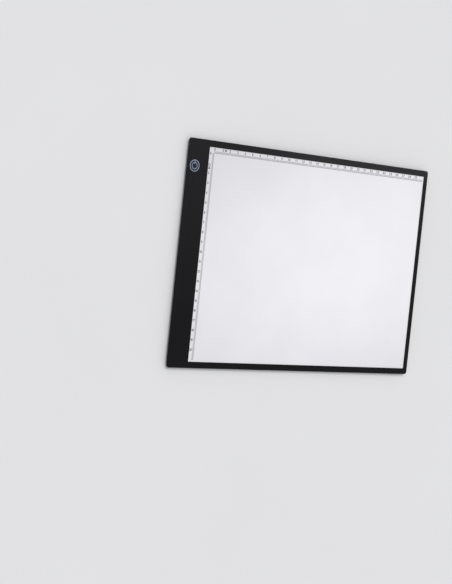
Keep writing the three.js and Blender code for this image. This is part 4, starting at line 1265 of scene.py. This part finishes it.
def refined(node, width):
    """A copy of a CAD node in millimetres, its loose triangles merged into flat faces, and the edges
    that turn by more than an angle bevelled to a width."""
    work = bmesh.new()
    work.from_mesh(bpy.data.objects[node].data)
    work.transform(Matrix.Scale(1 / MM, 4))
    bmesh.ops.remove_doubles(work, verts=work.verts, dist=1e-3)
    bmesh.ops.dissolve_limit(work, angle_limit=math.radians(1), verts=work.verts, edges=work.edges)
    if width:
        least = math.radians(LEAST_TURN)
        turning = [e for e in work.edges if e.is_manifold and e.calc_face_angle() > least]
        shape = {"segments": 2, "profile": 0.5, "affect": "EDGES", "clamp_overlap": True}
        bmesh.ops.bevel(work, geom=turning, offset=width, **shape)
    mesh = bpy.data.meshes.new("refined")
    work.to_mesh(mesh)
    work.free()
    return mesh


# Floor, camera and light

def floor():
    """A plain square."""
    corners = FLOOR_HALF * np.array([[-1, -1, 0], [1, -1, 0], [1, 1, 0], [-1, 1, 0]])
    made = shown("floor", to_mesh((corners, [np.array([[0, 1, 2, 3]])])))
    made.data.materials.append(Finish("floor", Specular_IOR_Level=0.1).done())


def camera():
    """Looks down, and is then turned about the upright axis, about its own sideways axis and about its
    line of sight."""
    data = bpy.data.cameras.new("camera")
    data.lens = CAMERA_LENS
    data.sensor_width = 36
    data.clip_start = 0.05
    data.clip_end = 50
    made = shown("camera", data)
    first, second, third = (
        Matrix.Rotation(math.radians(turn), 4, axis) for turn, axis in zip(CAMERA_TURNS, "ZXZ")
    )
    made.matrix_world = Matrix.Translation(CAMERA_PLACE) @ first @ second @ third
    bpy.context.scene.camera = made


def lighting():
    """A soft sun, and a pale world that is brighter to the camera and in reflections."""
    world = bpy.data.worlds.new("studio")
    bpy.context.scene.world = world
    world.use_nodes = True
    rays = add("LightPath", {}, world.node_tree)
    seen = calculate("ADD", rays["Is Camera Ray"], rays["Is Glossy Ray"], clamp=True)
    seen = calculate("ADD", seen, rays["Is Transmission Ray"], clamp=True)
    colour = blend_colours(seen, (0.58, 0.58, 0.59), (0.86, 0.86, 0.875))
    world.node_tree.links.new(colour, world.node_tree.nodes["Background"].inputs["Color"])
    sun = bpy.data.lights.new("key", "SUN")
    sun.energy = SUN_STRENGTH
    sun.angle = math.radians(SUN_SPREAD)
    shown("key", sun).rotation_euler = Vector(SUN_WAY).to_track_quat("-Z", "Y").to_euler()


# Assembly

cover_plastic = Finish("cover_plastic", Specular_IOR_Level=0.32)
cover_plastic.worn((0.035, 0.035, 0.038), 0.4, width=0.4, patch=8.0)
rubber = Finish("foot_rubber", Specular_IOR_Level=0.25)
rubber = rubber.worn((0.06, 0.06, 0.06), 0.85, width=0.3, patch=3.0, amount=0.4).done()
socket_steel = metal("socket_steel", 0.7, 0.7, 0.7)
black_steel = metal("case_screw_steel", 0.3, 0.3, 0.3)
zinc = metal("board_screw_steel", 0.7, 0.7, 0.7)
gilt = metal("contact_gilt", 0.9, 0.7, 0.4)
insulator = Finish("black_insulator").done()
foam = soft_foam()

piece("case_frame", front_frame(), frame_plastic(), "frame_plastic", "front_frame")
piece("case_back", back_cover(), cover_plastic.done(), "cover_plastic", "back_cover")
piece("opal_panel", drawing_panel(), opal_acrylic(), "opal_acrylic", "drawing_panel")
ruler_pieces(Finish("ruler_ink").done())
piece("touch_key_lens", key_lens(), smoked_lens(), "key_lens", "key_lens")
piece("touch_key_symbol", key_symbol(), key_light(), "key_lens")
piece("power_socket_shell", socket_shell(), socket_steel, "socket_steel", "usb_shell")
piece("power_socket_tongue", socket_insulator(), insulator, "black_insulator", "usb_tongue")
piece("power_socket_contacts", socket_contacts(), gilt, "socket_steel")
for stem, places, make, material, material_slot, node in (
    ("rubber_foot", FEET, foot, rubber, "foot_rubber", "foot"),
    ("cover_screw", CASE_SCREWS, case_screw, black_steel, "case_screw_steel", "case_screw"),
    ("control_screw", BOARD_SCREWS, board_screw, zinc, "board_screw_steel", "board_screw"),
):
    for number, place in enumerate(places, 1):
        name, stands_for = "%s_%d" % (stem, number), "%s_%d" % (node, number)
        piece(name, make(place), material, material_slot, stands_for)

for end in ("upper", "lower"):
    node = "guide_pad_" + end
    piece("foam_pad_" + end, foam_pad(*span(node)), foam, "foam", node)
piece("foam_ring", foam_ring(), foam, "foam", "touch_foam")

# CAD nodes that are refined: the piece's name, its slot, the width of its bevels and its material
white_board = circuit_board("white_board", (0.7, 0.71, 0.69), 1.1)
green_board = circuit_board("green_board", (0.03, 0.17, 0.08), 0.9)
light_plastic = light_chip()
INNER_PARTS = {
    "light_guide": ("guide_plate", "clear_acrylic", 0.06, clear_guide()),
    "led_rail": ("heat_rail", "rail_aluminium", 0.12, brushed_aluminium()),
    "led_strip_board": ("light_strip", "white_board", 0.05, white_board),
    "control_board": ("key_board", "green_board", 0.05, green_board),
    "touch_chip": ("touch_controller", "chip_epoxy", 0.04, moulded_chip("touch_chip")),
    "driver_chip": ("light_driver", "chip_epoxy", 0.04, moulded_chip("driver_chip")),
    "inductor": ("choke", "ferrite", 0.06, ferrite_core()),
    "input_capacitor": ("capacitor_in", "capacitor_ceramic", 0.04, tinned_ceramic("input_capacitor")),
    "output_capacitor": ("capacitor_out", "capacitor_ceramic", 0.04, tinned_ceramic("output_capacitor")),
    "indicator_led": ("indicator", "led_plastic", 0.05, Finish("indicator_plastic").done()),
    "wire_positive": ("supply_wire_red", "wire_red", 0.0, insulated_wire("wire_red")),
    "wire_negative": ("supply_wire_black", "wire_black", 0.0, insulated_wire("wire_black")),
}
for number in range(1, LED_COUNT + 1):
    INNER_PARTS["led_%02d" % number] = ("light_%02d" % number, "led_plastic", 0.03, light_plastic)
for node, (name, material_slot, width, material) in INNER_PARTS.items():
    piece(name, refined(node, width), material, material_slot, node)

SHEETS = {
    "black_tape": ("panel_tape", "rim_tape"),
    "white_film": ("diffuser_film", "reflector_sheet"),
    "thermal_tape": ("thermal_tape",),
}
for look, nodes in SHEETS.items():
    material = Finish(look).done()
    for node in nodes:
        bpy.data.objects[node].material_slots[0].material = material

floor()
camera()
lighting()
bpy.context.scene.view_settings.view_transform = "Standard"
